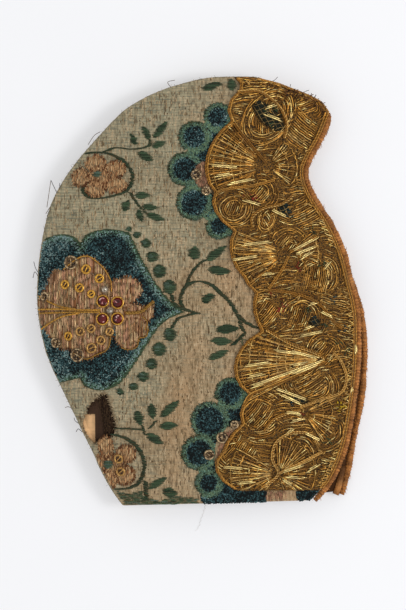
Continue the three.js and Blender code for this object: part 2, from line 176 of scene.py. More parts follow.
# Petals of the two small flowers: middle in pixels, then width and height
SMALL_PETALS = [
    (97, 165, 10.5, 8.5), (117, 171, 10.0, 8.5), (116, 187, 12.0, 7.5), (97, 190, 10.5, 8.5),
    (82, 179, 9.0, 9.5), (127, 452, 10.0, 9.0), (126, 473, 10.0, 10.0), (107, 445, 8.0, 10.5),
    (109, 478, 10.0, 9.0), (101, 461, 6.5, 8.0), (100, 178, 11.0, 10.0), (115, 462, 9.0, 11.0),
]
# Worn green weave along the hem
HEM_WEAVE = [(117, 489), (128, 492), (141, 489), (147, 496), (160, 499), (176, 494), (198, 497), (199, 503),
             (122, 503)]
# Rosy hearts of the flowers at the lace and at the hem
FLOWER_HEARTS = [
    [(197, 167), (206, 163), (212, 175), (210, 190), (199, 188), (193, 177)],
    [(222, 436), (231, 428), (240, 432), (234, 448), (222, 458), (216, 452)],
    [(267, 489), (283, 488), (284, 500), (268, 503)],
]
# Pile lobes of the two flowers at the lace: middle in pixels, radius, and the flower that each belongs to
LOBES = [
    (218, 120, 7.2, 0), (194.4, 139.3, 7.7, 0), (185, 171, 8.2, 0), (194, 204, 8.6, 0), (219, 227, 6.6, 0),
    (230, 392, 7.6, 1), (209.5, 419, 9.2, 1), (199, 451, 8.6, 1), (208.5, 481, 6.6, 1),
]
FLOWER_MIDDLES = [(216, 174), (236, 446)]
# Pile between the lobes and along the hem
PILE_BEDS = [
    [(218, 110), (232, 118), (215, 150), (206, 163), (196, 168), (193, 177), (199, 190), (212, 196),
     (233, 236), (215, 226), (197, 212), (188, 195), (184, 165), (196, 140)],
    [(230, 382), (247, 393), (242, 416), (224, 428), (214, 446), (216, 466), (235, 488), (264, 489),
     (268, 502), (207, 503), (202, 480), (197, 455), (203, 430), (214, 410)],
    [(297, 488), (321, 486), (322, 496), (300, 500)],
]
PILE_HEART = (116, 252)  # darkest place of the great flower's pile, in pixels
PILE_HEART_REACH = 8.0
# Gold cords couched on the great flower: width, then the pixels that they pass through
COUCHED = [
    (0.95, [(40, 309.6), (60, 309), (80, 309.8), (102, 310)]),
    (0.95, [(40, 313.2), (60, 312.4), (80, 312), (102, 312)]),
    (0.9, [(41, 296), (52, 302), (63, 306.5), (78, 309)]),
    (0.9, [(43, 329), (55, 321), (67, 315.5), (82, 313)]),
    (1.7, [(126, 312.8), (135, 312.8), (143, 311), (149, 306), (154.5, 301.5)]),
    (0.6, [(66, 270), (80, 259), (90, 257), (98, 262), (106, 270), (112, 281), (113, 292)]),
    (0.6, [(113, 332), (109, 348), (98, 354), (88, 358), (76, 352)]),
    (0.6, [(149, 328), (147, 336), (140, 338), (138, 346), (130, 349), (122, 347)]),
    (0.6, [(146, 330), (148, 322), (143, 316)]),
]
# Soft creases of the upper panel: from and to in pixels, then depth
CREASES = [
    (164, 150, 165, 218, 0.45), (186, 330, 189, 452, 0.5), (70, 180, 74, 232, 0.35), (150, 92, 148, 128, 0.3),
]

# Gold lace on the upper side. Fans: hub in pixels, from and to in degrees, inner and outer reach, threads
FANS = [
    (266, 168, 126, 210, 6, 34, 46), (287, 254, 158, 220, 6, 31, 36), (324.3, 359, 160, 208, 4, 47, 44),
    (302.8, 412, -58, 34, 2, 18, 22), (277.3, 471.4, -70, 92, 2, 19, 34), (277.3, 471.4, 150, 232, 3, 25, 24),
    (287, 254, -22, 40, 3, 17, 16), (266, 168, -40, 60, 3, 15, 18),
]
# Whorls: middle in pixels, inner and outer radius, from and to in degrees, stretch and turn
WHORLS = [
    (267, 119, 8.0, 17.0, 0, 360, 0.66, 48), (232.6, 209.5, 4.2, 10.5, 0, 360, 0.9, 20),
    (259, 194, 4.2, 9.5, -150, 110, 1.0, 0), (287, 247, 4.0, 10.5, 8, 172, 1.0, 0),
    (266, 219, 3.6, 8.0, 0, 360, 0.6, 70), (264, 312, 6.4, 13.0, 60, 330, 0.9, 0),
    (300, 318, 6.4, 13.0, -60, 150, 1.0, 20), (324, 352, 5.0, 10.0, 10, 175, 1.0, 0),
    (308, 383, 7.6, 15.0, 200, 420, 0.75, -20), (258, 413, 6.8, 13.5, 40, 330, 0.9, 0),
    (296, 453, 5.6, 11.5, 0, 360, 1.0, 0), (238, 452, 7.6, 15.0, 90, 300, 0.8, 0),
    (305, 106, 6.0, 12.0, -40, 200, 0.7, -30), (314, 278, 7.0, 14.0, -80, 120, 0.9, 30),
    (322, 430, 6.0, 12.0, -100, 120, 0.9, 0),
]
# Hatched places: middle in pixels, length, width and turn
HATCHED = [
    (250, 88, 19, 10, -4), (300, 132, 18, 16, -38), (303, 211, 16, 14, 28), (320, 262, 12, 16, -24),
    (297, 305, 16, 10, 62), (250, 476, 20, 9, 2), (294, 90, 20, 9, -16), (246, 300, 12, 9, 70),
]
# Gimp cords: the pixels that they pass through
GIMPS = [
    [(236, 96), (258, 95), (275.7, 107.4), (283.7, 120), (285, 130), (282, 141)],
    [(232.6, 125), (249, 146), (266, 166)],
    [(215, 195), (225, 191), (252, 187), (274, 181)],
    [(252, 229), (251, 219), (262, 210), (281, 205), (292, 196)],
    [(287, 254), (303, 244), (316, 236)],
    [(287, 256), (281, 269), (271, 284), (266, 290)],
    [(266, 290), (291.6, 293.6), (307.6, 299), (320, 307), (331.5, 321.5), (341, 329)],
    [(264, 329), (290, 344), (312, 352), (324, 359)],
    [(243, 403), (250, 393), (272.5, 383.7), (300, 372), (324, 360)],
    [(297, 406), (320, 398), (339, 391), (344, 376), (338, 360), (330, 352)],
    [(262, 430), (275, 416), (300, 408)],
    [(277, 471), (300, 460), (322, 449)],
    [(264, 484), (277, 471), (271, 456), (275, 440), (290, 431), (308, 433), (317, 444)],
]
# Bright flat strips of the lace, from end to end in pixels
STRIPS = [
    (211, 168, 236, 170), (213, 179, 232, 176), (226, 187, 253, 181), (240, 247, 271, 243.5),
    (232, 261.5, 256, 258), (260, 276, 273, 274.5), (292, 252, 316, 239), (294, 256, 314, 248),
    (298, 261, 312, 252), (241, 202, 258, 207), (270, 212, 284, 219), (298, 336.6, 320, 331.8),
    (321, 359, 250, 384), (318, 361.5, 290, 373), (317, 357, 290, 350), (303, 353, 272, 349),
    (243, 366, 270, 362), (246, 377, 264, 373), (250, 387, 262, 383), (274, 388, 304, 399),
    (277, 393, 300, 404), (306, 361, 287, 364), (283, 411.5, 299, 412.5), (288, 421, 303, 417),
    (283, 435, 292, 427), (303, 432, 317, 439), (223, 465, 242, 466), (237, 481, 255, 479),
    (281, 470, 302, 463), (283, 474, 300, 476), (281, 477, 290, 483), (322, 270, 329, 262),
    (262, 117, 281, 124), (264, 112, 276, 108), (353, 344, 353.5, 354), (350, 386, 348.5, 392),
    (318, 312, 330, 318), (306, 306, 316, 303), (305, 470, 318, 462), (301, 330, 312, 326),
]
# Openings in the lace: middle in pixels, half length, half width and turn
OPENINGS = [
    (267, 118, 9.6, 4.6, -42), (284, 211, 3.6, 2.8, 20), (313, 322, 3.0, 2.2, 0), (297, 398, 5.0, 1.6, -18),
]
# Small coloured ends of silk caught in the lace: middle in pixels and colour
LACE_BITS = [
    (269, 290, "red"), (282, 305, "red"), (279, 309, "red"), (249, 198, "red"), (253, 200, "red"),
    (297, 415, "red"), (284, 209, "teal"), (286, 214, "teal"), (312, 321, "teal"), (323, 326, "green"),
    (305, 311, "green"), (262, 114, "green"), (275, 112, "green"), (270, 125, "green"), (296, 268, "red"),
    (318, 263, "green"), (338, 402, "yellow"), (341, 405, "yellow"), (337, 341, "green"), (345, 350, "green"),
    (343, 330, "teal"), (240, 342, "green"), (291, 399, "teal"), (312, 232, "green"), (326, 436, "green"),
    (333, 300, "teal"),
]
# Loose ends of thread along the seam, the crown and the hem: pixels, then the height of both ends
LOOSE_ENDS = [
    ([(63, 207), (58, 194), (52, 181)], 11, 12), ([(52, 182), (50, 195), (48, 208)], 12, 10),
    ([(62, 200), (61, 190), (61, 184)], 11, 13), ([(64, 203), (54, 205), (47, 214)], 12, 10),
    ([(57, 209), (52, 209), (48, 217)], 11, 10), ([(41, 275), (37, 269), (35, 262)], 10, 11),
    ([(40, 278), (36, 272), (34, 278)], 10, 9), ([(101, 133), (95, 137), (89, 146)], 11, 12),
    ([(172, 90), (168, 84), (175, 82)], 11, 12), ([(270, 84), (274, 82), (277, 79)], 12, 13),
    ([(288, 94), (289, 90), (290, 86)], 12, 13), ([(300, 98), (303, 94), (308, 92)], 12, 13),
    ([(74, 408), (69, 406), (66, 407)], 10, 9), ([(80, 423), (76, 420), (75, 417)], 10, 10),
    ([(83, 431), (79, 428), (77, 431)], 10, 10), ([(337, 263), (340, 262), (342, 259)], 12, 13),
]
HEM_THREAD = [(206, 500), (205, 507), (203.5, 513), (201, 519), (199.5, 525), (196, 531)]

# Tear near the nape, in millimetres, worn a little wider than the hole of the CAD panel
HOLE = [
    (-49.5, -50.6), (-47.0, -51.6), (-44.4, -60.0), (-42.6, -67.0), (-45.6, -73.6), (-51.0, -75.0),
    (-53.4, -76.2), (-56.6, -73.6), (-60.0, -68.4), (-59.6, -63.6), (-57.6, -58.6), (-53.6, -53.0),
]
# Wear of the seam near the nape: height, then how far the edge is worn in
NAPE_WEAR = [
    (-103.0, 0.0), (-93.0, 0.5), (-87.0, 0.8), (-81.0, 1.6), (-74.0, 1.9), (-68.0, 2.1), (-62.0, 2.2),
    (-55.0, 1.8), (-48.0, 1.2), (-40.0, 0.5), (-30.0, 0.0),
]
# Wear of the crown over the lace: height, then how far the edge is worn in
CROWN_WEAR = [(93.0, 0.0), (96.5, 1.0), (100.0, 4.2), (103.6, 5.6), (105.4, 4.6), (106.2, 2.0), (106.45, 0.0)]
# Card in the tear
CARD_EDGE = -53.4  # the brown interlining is torn away left of this line
CARD_TOP, CARD_FOOT = -61.0, -78.0
CARD_ROWS, CARD_COLUMNS = 14, 8
CARD_INSET, CARD_LAP = 0.4, 0.2  # clear of the seam, and over the card that the CAD has
CARD_DIP = (1.75, 3.1)  # depth below the silk at the seam and further in
CARD_DIP_REACH = 4
CARD_THICK = 0.4
FUZZ_TRIES = 2600  # places tried for a fibre


def screen(red, green, blue):
    """Linear colour of an 8-bit screen colour."""
    shares = np.array((red, green, blue)) / 255
    return np.where(shares <= 0.04045, shares / 12.92, ((shares + 0.055) / 1.055) ** 2.4)


def drawn(work):
    """Random draws of one kind of work, the same at each run."""
    return np.random.default_rng(SEEDS[work])


def placed(pixels):
    """Millimetres on the bonnet of pixels of the photograph."""
    return (np.asarray(pixels, float) - ORIGIN_PIXEL) * (MM_PER_PIXEL, -MM_PER_PIXEL)


def at_places(table):
    """Rows of a table that begin with a pixel, with the place on the bonnet instead."""
    for x, y, *rest in table:
        yield placed((x, y)), *rest


# Lines and outlines

def smooth_line(points, step):
    """A smooth line through points, with a point about every step."""
    points = np.asarray(points, float)
    ends = np.vstack([2 * points[0] - points[1], points, 2 * points[-1] - points[-2]])
    made = []
    for before, a, b, after in zip(ends, ends[1:], ends[2:], ends[3:]):
        count = max(2, math.ceil(np.linalg.norm(b - a) / step))
        t = np.arange(count)[:, None] / count
        made.append(0.5 * (2 * a + (b - before) * t + (2 * before - 5 * a + 4 * b - after) * t**2
                           + (3 * a - before - 3 * b + after) * t**3))
    return np.vstack([*made, points[-1:]])


def smooth_loop(points, step):
    """A smooth closed outline through points."""
    points = np.asarray(points, float)
    line = smooth_line(np.vstack([points[-2:], points, points[:2]]), step)
    start = np.argmin(np.linalg.norm(line[: len(line) // 2] - points[0], axis=1))
    end = len(line) // 2 + np.argmin(np.linalg.norm(line[len(line) // 2:] - points[0], axis=1))
    return line[start:end]


def oval(middle, width, height, turn=0.0, count=28):
    """An oval outline."""
    a = np.linspace(0, 2 * math.pi, count, endpoint=False)
    return np.asarray(middle) + turned(np.stack([np.cos(a) * width / 2, np.sin(a) * height / 2], 1), turn)


def leaf(middle, length, width, turn, count=14):
    """A pointed leaf outline, fullest nearer its foot."""
    t = np.linspace(0, 1, count)
    half = width / 2 * np.sin(math.pi * t**0.85) ** 0.75
    top = np.stack([(t - 0.5) * length, half], 1)
    return np.asarray(middle) + turned(np.vstack([top, (top * (1, -1))[-2:0:-1]]), turn)


def turned(points, degrees):
    """Points turned about the origin."""
    c, s = math.cos(math.radians(degrees)), math.sin(math.radians(degrees))
    return points @ np.array([[c, s], [-s, c]])


def heading(degrees, start=(1.0, 0.0)):
    """One direction, turned from another."""
    return turned(np.array([start]), degrees)[0]


def left_of(ways):
    """Directions a quarter turn to the left."""
    return np.stack([-ways[..., 1], ways[..., 0]], -1)


def dash(middle, half, count):
    """Points along a short straight thread, given by its middle and its half."""
    return middle + np.linspace(-1, 1, count)[:, None] * half


def closed(outline):
    """An outline that ends where it starts."""
    return np.vstack([outline, outline[:1]])


def ovals(table):
    """Outlines of a table's ovals: middle in pixels, then width and height."""
    return [oval(*row) for row in at_places(table)]


def inside(outline, points):
    """Which points lie inside a closed outline."""
    x, y = points[:, :1], points[:, 1:2]
    (ax, ay), (bx, by) = outline.T, np.roll(outline, -1, 0).T
    crossed = ((ay > y) != (by > y)) & (x < (bx - ax) * (y - ay) / (by - ay + 1e-12) + ax)
    return crossed.sum(1) % 2 == 1


def inside_any(outlines, points):
    """Which points lie inside at least one of the outlines."""
    found = np.zeros(len(points), bool)
    for outline in outlines:
        found |= inside(outline, points)
    return found


def scanned(outline, pitch, turn):
    """Parallel threads, as pairs of ends, that fill an outline."""
    flat = turned(outline, -turn)
    after = np.roll(flat, -1, 0)
    for y in np.arange(flat[:, 1].min() + pitch / 2, flat[:, 1].max(), pitch):
        cut = (flat[:, 1] > y) != (after[:, 1] > y)
        a, b = flat[cut], after[cut]
        x = np.sort(a[:, 0] + (y - a[:, 1]) / (b[:, 1] - a[:, 1]) * (b[:, 0] - a[:, 0]))
        for start, end in zip(x[::2], x[1::2]):
            yield turned(np.array([(start, y), (end, y)]), turn)


def along(line, spacing, look=0.1):
    """Points every spacing along a line, with the line's direction at each."""
    steps = np.linalg.norm(np.diff(line, axis=0), axis=1)
    length = np.concatenate([[0], np.cumsum(steps)])
    at = np.arange(spacing / 2, length[-1], spacing)

    def points(shift):
        return np.stack([np.interp(at + shift, length, part) for part in line.T], 1)

    way = points(look) - points(-look)
    return points(0), way / np.linalg.norm(way, axis=1, keepdims=True)


def runs(points, kept, least=3):
    """The unbroken stretches of a line whose points are kept."""
    edges = np.flatnonzero(np.diff(np.concatenate([[0], kept.astype(int), [0]])))
    for start, end in zip(edges[::2], edges[1::2]):
        if end - start >= least:
            yield points[start:end]


# The CAD surfaces

def triangles(node):
    """Corners of a CAD node's triangles, in millimetres."""
    mesh = NODES[node].data
    corners = np.zeros(len(mesh.vertices) * 3)
    mesh.vertices.foreach_get("co", corners)
    faces = np.array([p.vertices[:] for p in mesh.polygons])
    return corners.reshape(-1, 3)[faces] / MM


def sections(node, rows):
    """Lowest and highest x and z of a CAD node cut at each row's y."""
    corners = triangles(node)
    a = corners.reshape(-1, 3)
    b = np.roll(corners, -1, 1).reshape(-1, 3)
    made = []
    for y in rows:
        cut = (a[:, 1] > y) != (b[:, 1] > y)
        p, q = a[cut], b[cut]
        met = p + ((y - p[:, 1]) / (q[:, 1] - p[:, 1]))[:, None] * (q - p)
        made.append((met[:, 0].min(), met[:, 0].max(), met[:, 2].min(), met[:, 2].max()))
    return np.array(made).T


def neighbours(grid, **padding):
    """The four neighbours of each cell of a grid."""
    wide = np.pad(grid, 1, **padding)
    return np.stack([wide[2:, 1:-1], wide[:-2, 1:-1], wide[1:-1, 2:], wide[1:-1, :-2]])


def spread(grid):
    """Fills the empty cells of a grid outwards from their neighbours."""
    while np.isnan(grid).any():
        around = neighbours(grid, constant_values=np.nan)
        known = (~np.isnan(around)).sum(0)
        mean = np.nansum(around, 0) / np.maximum(known, 1)
        grid = np.where(np.isnan(grid) & (known > 0), mean, grid)
    return grid


def softened(grid, passes):
    """A grid of heights without the edges of flat facets."""
    for _ in range(passes):
        grid = (neighbours(grid, mode="edge").sum(0) + 4 * grid) / 8
    return grid


class Face:
    """Outer face of one side panel, as smoothed heights of its CAD node on a grid of one millimetre."""

    MARGIN = 4
    RAY_START = 60

    def __init__(self, node, side):
        self.node, self.side = node, side
        low, high = (np.array(corner)[:2] / MM for corner in CAD_BOX)
        self.low = np.floor(low) - self.MARGIN
        self.cells = (np.ceil(high) + self.MARGIN - self.low).astype(int)
        mesh = NODES[node].data
        places = [v.co / MM for v in mesh.vertices]
        tree = BVHTree.FromPolygons(places, [p.vertices[:] for p in mesh.polygons])
        heights = np.full(self.cells + 1, np.nan)
        for i, j in np.ndindex(*heights.shape):
            start = Vector((self.low[0] + i, self.low[1] + j, side * self.RAY_START))
            hit = tree.ray_cast(start, Vector((0, 0, -side)))[0]
            if hit is not None:
                heights[i, j] = hit.z
        self.heights = softened(spread(heights), HEIGHT_SOFTENING)

    def crease(self, start, end, depth, wide=1.6):
        """Presses a soft crease into the face from one place to another."""
        x, y = np.meshgrid(*(np.arange(count + 1) for count in self.cells), indexing="ij")
        place = np.stack([x, y], -1) + self.low
        span = end - start
        share = np.clip((place - start) @ span / (span @ span), 0, 1)
        gap = np.linalg.norm(place - start - share[..., None] * span, axis=-1)
        self.heights -= depth * np.exp(-(gap / wide) ** 2) * np.sin(math.pi * np.clip(share, 0.04, 0.96))

    def height(self, xy):
        """Height of the face at points."""
        place = np.clip(xy - self.low, 0, self.cells - 1e-6)
        i, j = place.astype(int).T
        f, g = (place - place.astype(int)).T
        h = self.heights
        below = h[i, j] * (1 - f) + h[i + 1, j] * f
        above = h[i, j + 1] * (1 - f) + h[i + 1, j + 1] * f
        return below * (1 - g) + above * g

    def normal(self, xy):
        """Outward direction of the face at points."""
        slope = [self.height(xy + step) - self.height(xy - step) for step in ((0.5, 0), (0, 0.5))]
        way = self.side * np.stack([-slope[0], -slope[1], np.ones(len(xy))], 1)
        return way / np.linalg.norm(way, axis=1, keepdims=True)

    def lay(self, xy, lift):
        """Points at a lift above the face, and the outward direction there."""
        way = self.normal(xy)
        lift = np.broadcast_to(lift, len(xy))
        return np.column_stack([xy, self.height(xy)]) + way * lift[:, None], way


@lru_cache(None)
def upper_face():
    """The side that faces up."""
    face = Face("side_panel_upper", 1)
    for x0, y0, x1, y1, depth in CREASES:
        face.crease(placed((x0, y0)), placed((x1, y1)), depth)
    return face


@lru_cache(None)
def lower_face():
    """The side that lies on the table."""
    return Face("side_panel_lower", -1)


class Band:
    """Left and right edge of a CAD node at any y."""

    EDGE = 0.05

    def __init__(self, node, spacing=0.5):
        low, high = (corner.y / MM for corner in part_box(node))
        self.rows = np.arange(low + self.EDGE, high, spacing)
        self.lefts, self.rights = sections(node, self.rows)[:2]
        if node.startswith("side_panel"):
            self.lefts = self.lefts + np.interp(self.rows, *np.array(NAPE_WEAR).T)
        if node.startswith(("side_panel", "gold_lace")):
            self.rights = self.rights - np.interp(self.rows, *np.array(CROWN_WEAR).T)

    def edges(self, y):
        """Left and right edge at each y."""
        return np.interp(y, self.rows, self.lefts), np.interp(y, self.rows, self.rights)

    def holds(self, xy, left_inset, right_inset):
        """Which points lie in the band, clear of its edges."""
        left, right = self.edges(xy[:, 1])
        within = (xy[:, 1] > self.rows[0]) & (xy[:, 1] < self.rows[-1])
        return within & (xy[:, 0] > left + left_inset) & (xy[:, 0] < right - right_inset)


@lru_cache(None)
def band(node):
    """The band of a CAD node, worked out once."""
    return Band(node)


# Meshes

def piece(name, points, faces, finishes, uv=None, colours=None, finish_of=None):
    """A joined mesh from arrays of points in millimetres and faces with the same number of corners."""
    mesh = bpy.data.meshes.new(name)
    mesh.vertices.add(len(points))
    mesh.vertices.foreach_set("co", (np.asarray(points) * MM).astype(np.float32).ravel())
    mesh.loops.add(faces.size)
    mesh.loops.foreach_set("vertex_index", faces.astype(np.int32).ravel())
    mesh.polygons.add(len(faces))
    mesh.polygons.foreach_set("loop_start", np.arange(0, faces.size, faces.shape[1], dtype=np.int32))
    if finish_of is not None:
        mesh.polygons.foreach_set("material_index", finish_of.astype(np.int32))
    mesh.update(calc_edges=True)
    if uv is not None:
        mesh.uv_layers.new(name="OFBake").data.foreach_set("uv", uv.astype(np.float32).ravel())
    if colours is not None:
        tint = mesh.attributes.new("thread_colour", "FLOAT_COLOR", "POINT")
        whole = np.column_stack([colours, np.ones(len(colours))])
        tint.data.foreach_set("color", whole.astype(np.float32).ravel())
    mesh.validate()
    mesh.shade_smooth()
    for finish in finishes:
        mesh.materials.append(finish)
    made = bpy.data.objects.new(name, mesh)
    bpy.context.scene.collection.objects.link(made)
    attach(made, "root")
    return made


def cells(count):
    """Corner and size of one cell of the map for each of count threads."""
    columns = math.ceil(math.sqrt(count / 4))
    rows = math.ceil(count / columns)
    index = np.arange(count)
    corner = np.stack([index % columns / columns, index // columns / rows], 1)
    return corner, np.array((1 / columns, 1 / rows))


class Threads:
    """Many fine threads that become one joined mesh of slim closed tubes."""

    def __init__(self, name, sides=4):
        self.name, self.sides, self.strands = name, sides, []

    def add(self, points, ups, radius, colour, flat=1.0):
        """One thread along points, with its outward direction at each."""
        count = len(points)
        self.strands.append((
            np.asarray(points, float), np.broadcast_to(ups, (count, 3)), np.broadcast_to(radius, count),
            np.broadcast_to(colour, (count, 3)), flat,
        ))

    def lay(self, xy, lift, radius, colour, flat=0.8, pointed=0.45, face=None):
        """One thread on a face, the upper one unless told, thinner at both ends."""
        points, ups = (face or upper_face()).lay(xy, lift)
        thin = np.ones(len(xy))
        thin[[0, -1]] = pointed
        self.add(points, ups, radius * thin, colour, flat)

    def build(self, finish, slot):
        """The joined mesh."""
        lots = {}
        for strand in self.strands:
            lots.setdefault(len(strand[0]), []).append(strand)
        corner, size = cells(len(self.strands))
        turn = np.arange(self.sides) * 2 * math.pi / self.sides
        points, faces, uv, colours, done, base = [], [], [], [], 0, 0
        for count, lot in lots.items():
            middle, up, radius, colour, flat = (np.array(part) for part in zip(*lot))
            way = np.gradient(middle, axis=1)
            way /= np.linalg.norm(way, axis=2, keepdims=True) + 1e-12
            across = np.cross(way, up)
            across /= np.linalg.norm(across, axis=2, keepdims=True) + 1e-12
            up = np.cross(across, way) * flat[:, None, None]
            ring = np.cos(turn)[:, None] * across[:, :, None] + np.sin(turn)[:, None] * up[:, :, None]
            points.append((middle[:, :, None] + radius[:, :, None, None] * ring).reshape(-1, 3))
            colours.append(np.repeat(colour[:, :, None], self.sides, 2).reshape(-1, 3))
            pattern, chart = self.tube(count)
            size_of_one = count * self.sides
            faces.append((base + np.arange(len(lot))[:, None, None] * size_of_one + pattern).reshape(-1, 4))
            mine = corner[done:done + len(lot), None, None]
            uv.append((mine + (0.06 + 0.88 * chart) * size).reshape(-1, 2))
            done += len(lot)
            base += len(lot) * size_of_one
        return piece(self.name, np.vstack(points), np.vstack(faces), [finish],
                     np.vstack(uv), np.vstack(colours))

    def tube(self, count):
        """Faces of one tube and their places on the map."""
        i, j = np.divmod(np.arange((count - 1) * self.sides), self.sides)
        k = (j + 1) % self.sides
        walls = np.stack([i * self.sides + j, (i + 1) * self.sides + j, (i + 1) * self.sides + k,
                          i * self.sides + k], 1)
        steps = np.stack([np.stack([i, j], 1), np.stack([i + 1, j], 1), np.stack([i + 1, j + 1], 1),
                          np.stack([i, j + 1], 1)], 1)
        half = self.sides // 2
        caps, marks = [], []
        for n in range(1, half):
            ring = [n - 1, n, self.sides - n - 1, self.sides - n]
            for start in (0, count - 1):
                caps.append([start * self.sides + r for r in (ring if start == 0 else ring[::-1])])
                marks.append([(start, r) for r in ring])
        return np.vstack([walls, caps]), np.vstack([steps, marks]) / (count - 1, self.sides)


def blended(rng, count, *tones):
    """Colours drawn at random between neighbouring tones."""
    tones = np.array(tones)
    at = rng.random(count) * (len(tones) - 1)
    low = np.minimum(at.astype(int), len(tones) - 2)
    share = (at - low)[:, None]
    return tones[low] * (1 - share) + tones[low + 1] * share


def one_tone(rng, *tones):
    """One colour drawn at random between neighbouring tones."""
    return blended(rng, 1, *tones)[0]


# Shader maths

class Value:
    """One output of a node, so that maths on a surface reads as an expression."""

    def __init__(self, finish, socket):
        self.finish, self.socket = finish, socket

    def _math(self, operation, a, b):
        return self.finish.node("ShaderNodeMath", {"operation": operation}, {0: a, 1: b})

    def __add__(self, other):
        return self._math("ADD", self, other)

    def __radd__(self, other):
        return self._math("ADD", other, self)

    def __sub__(self, other):
        return self._math("SUBTRACT", self, other)

    def __rsub__(self, other):
        return self._math("SUBTRACT", other, self)

    def __mul__(self, other):
        return self._math("MULTIPLY", self, other)

    def __rmul__(self, other):
        return self._math("MULTIPLY", other, self)


class Finish:
    """One procedural material over places in millimetres, its constants set on the shader's own sockets."""

    def __init__(self, name, **constants):
        self.material = bpy.data.materials.new(name)
        self.material.use_nodes = True
        self.tree = self.material.node_tree
        self.shader = self.tree.nodes["Principled BSDF"]
        for socket, value in constants.items():
            self.shader.inputs[socket.replace("_", " ")].default_value = value
        place = self.node("ShaderNodeTexCoord", output="Object")
        self.where = self.node("ShaderNodeVectorMath", {"operation": "SCALE"}, {0: place, "Scale": 1 / MM})

    def node(self, kind, settings=None, sockets=None, output=0):
        """A node with its settings and the values or links of its sockets, as one of its outputs."""
        made = self.tree.nodes.new(kind)
        for name, value in (settings or {}).items():
            setattr(made, name, value)
        for name, value in (sockets or {}).items():
            if isinstance(value, Value):
                self.tree.links.new(value.socket, made.inputs[name])
            else:
                made.inputs[name].default_value = value
        return Value(self, made.outputs[output])

    def feed(self, **links):
        """Links values to the shader's sockets."""
        for socket, value in links.items():
            self.tree.links.new(value.socket, self.shader.inputs[socket.replace("_", " ")])
        return self.material

    def tint(self):
        """The colour that comes with each strand."""
        return self.node("ShaderNodeAttribute", {"attribute_name": "thread_colour"})

    def noise(self, grains, detail=3.0, shift=0.0):
        """Noise with a number of grains a millimetre, or with one for each of x, y and z."""
        moved = self.node("ShaderNodeMapping", None, {
            "Vector": self.where, "Scale": np.broadcast_to(grains, 3), "Location": (shift, shift, shift)})
        return self.node("ShaderNodeTexNoise", None, {"Vector": moved, "Scale": 1.0, "Detail": detail})

    def stepped(self, value, low, high):
        """A value's rise from 0 at low to 1 at high."""
        return self.node("ShaderNodeMapRange", {"interpolation_type": "SMOOTHSTEP"},
                         {0: value, "From Min": low, "From Max": high})

    def mixed(self, share, a, b, blend="MIX"):
        """One colour, or the other, by a share."""
        a, b = (colour if isinstance(colour, Value) else (*colour, 1.0) for colour in (a, b))
        return self.node("ShaderNodeMix", {"data_type": "RGBA", "blend_type": blend}, {0: share, 6: a, 7: b},
                         output=2)

    def bump(self, height, distance):
        """The surface's direction over a relief."""
        return self.node("ShaderNodeBump", None, {
            "Height": height, "Distance": distance * MM, "Strength": 1.0})


# Materials

TABLE_GLOW = 0.35  # share of the table's light that is its own, as on a lit table


def silk_brocade(silk):
    """Pale ribbed silk with upright slubs, greener and more ribbed at the back, browner at the front."""
    made = Finish("silk_brocade", Sheen_Weight=0.05, Specular_IOR_Level=0.25)
    x, y = (made.node("ShaderNodeSeparateXYZ", None, {0: made.where}, part) for part in "XY")
    wander = made.noise((0.05, 0.035, 0.02))
    warp = made.noise((0.85, 0.1, 0.1), 2.0)
    slub = made.noise((1.15, 0.36, 0.1), 3.0, 5.0)
    weft = made.noise((0.16, 1.0, 0.1), 3.0, 31.0)
    rib = made.node("ShaderNodeMath", {"operation": "SINE"}, {0: y * 4.6 + wander * 8.0 + slub * 2.0})
    back = made.stepped(x * -0.012 + wander * 1.6 + y * 0.0026, 0.45, 1.25)
    ground = made.mixed(back, screen(168, 136, 99), screen(158, 148, 119))
    ground = made.mixed(made.stepped(warp, 0.5, 0.64) * 0.5, ground, screen(118, 100, 70))
    ground = made.mixed(made.stepped(warp, 0.46, 0.34) * 0.5, ground, screen(196, 166, 128))
    ground = made.mixed(made.stepped(slub, 0.53, 0.66) * 0.65, ground, screen(88, 66, 42))
    ground = made.mixed(made.stepped(slub, 0.43, 0.3) * 0.55, ground, screen(206, 184, 148))
    ground = made.mixed(made.stepped(weft, 0.5, 0.68) * (0.2 + back * 0.42), ground, screen(92, 98, 84))
    ground = made.mixed(made.stepped(rib, 0.2, 0.9) * (0.1 + back * 0.25), ground, screen(96, 100, 84))
    stain = made.stepped(made.noise((0.03, 0.03, 0.02), 4.0, 7.0), 0.5, 0.7)
    ground = made.mixed(stain * 0.35, ground, screen(112, 88, 58))
    ground = made.mixed(1.0, ground, silk, "MULTIPLY")
    relief = rib * 0.3 + slub * 1.1 + warp * 0.6 + weft * 0.5
    return made.feed(Base_Color=ground, Normal=made.bump(relief, 0.3), Roughness=0.65 + slub * 0.2)


def plain_linen(name, tone, thread=1.6):
    """Plain woven cloth."""
    made = Finish(name, Specular_IOR_Level=0.2)
    warp = made.noise((thread, 0.12, 0.12), 2.0)
    weft = made.noise((0.12, thread, 0.12), 2.0, 11.0)
    dirt = made.noise(0.05, 4.0, 5.0)
    cloth = made.mixed(made.stepped(warp + weft, 0.8, 1.25) * 0.5, tone, tone * 0.55)
    cloth = made.mixed(made.stepped(dirt, 0.45, 0.7) * 0.35, cloth, tone * 0.6)
    return made.feed(Base_Color=cloth, Normal=made.bump(warp + weft, 0.2), Roughness=0.75 + dirt * 0.2)


def dyed_thread(name, roughness):
    """Silk thread whose colour comes with each strand."""
    made = Finish(name, Specular_IOR_Level=0.2)
    grain = made.noise(2.2, 2.0)
    shade = made.mixed(made.stepped(grain, 0.42, 0.7) * 0.35, made.tint(), (0.0, 0.0, 0.0))
    return made.feed(Base_Color=shade, Normal=made.bump(grain, 0.12), Roughness=roughness + grain * 0.2 - 0.1)


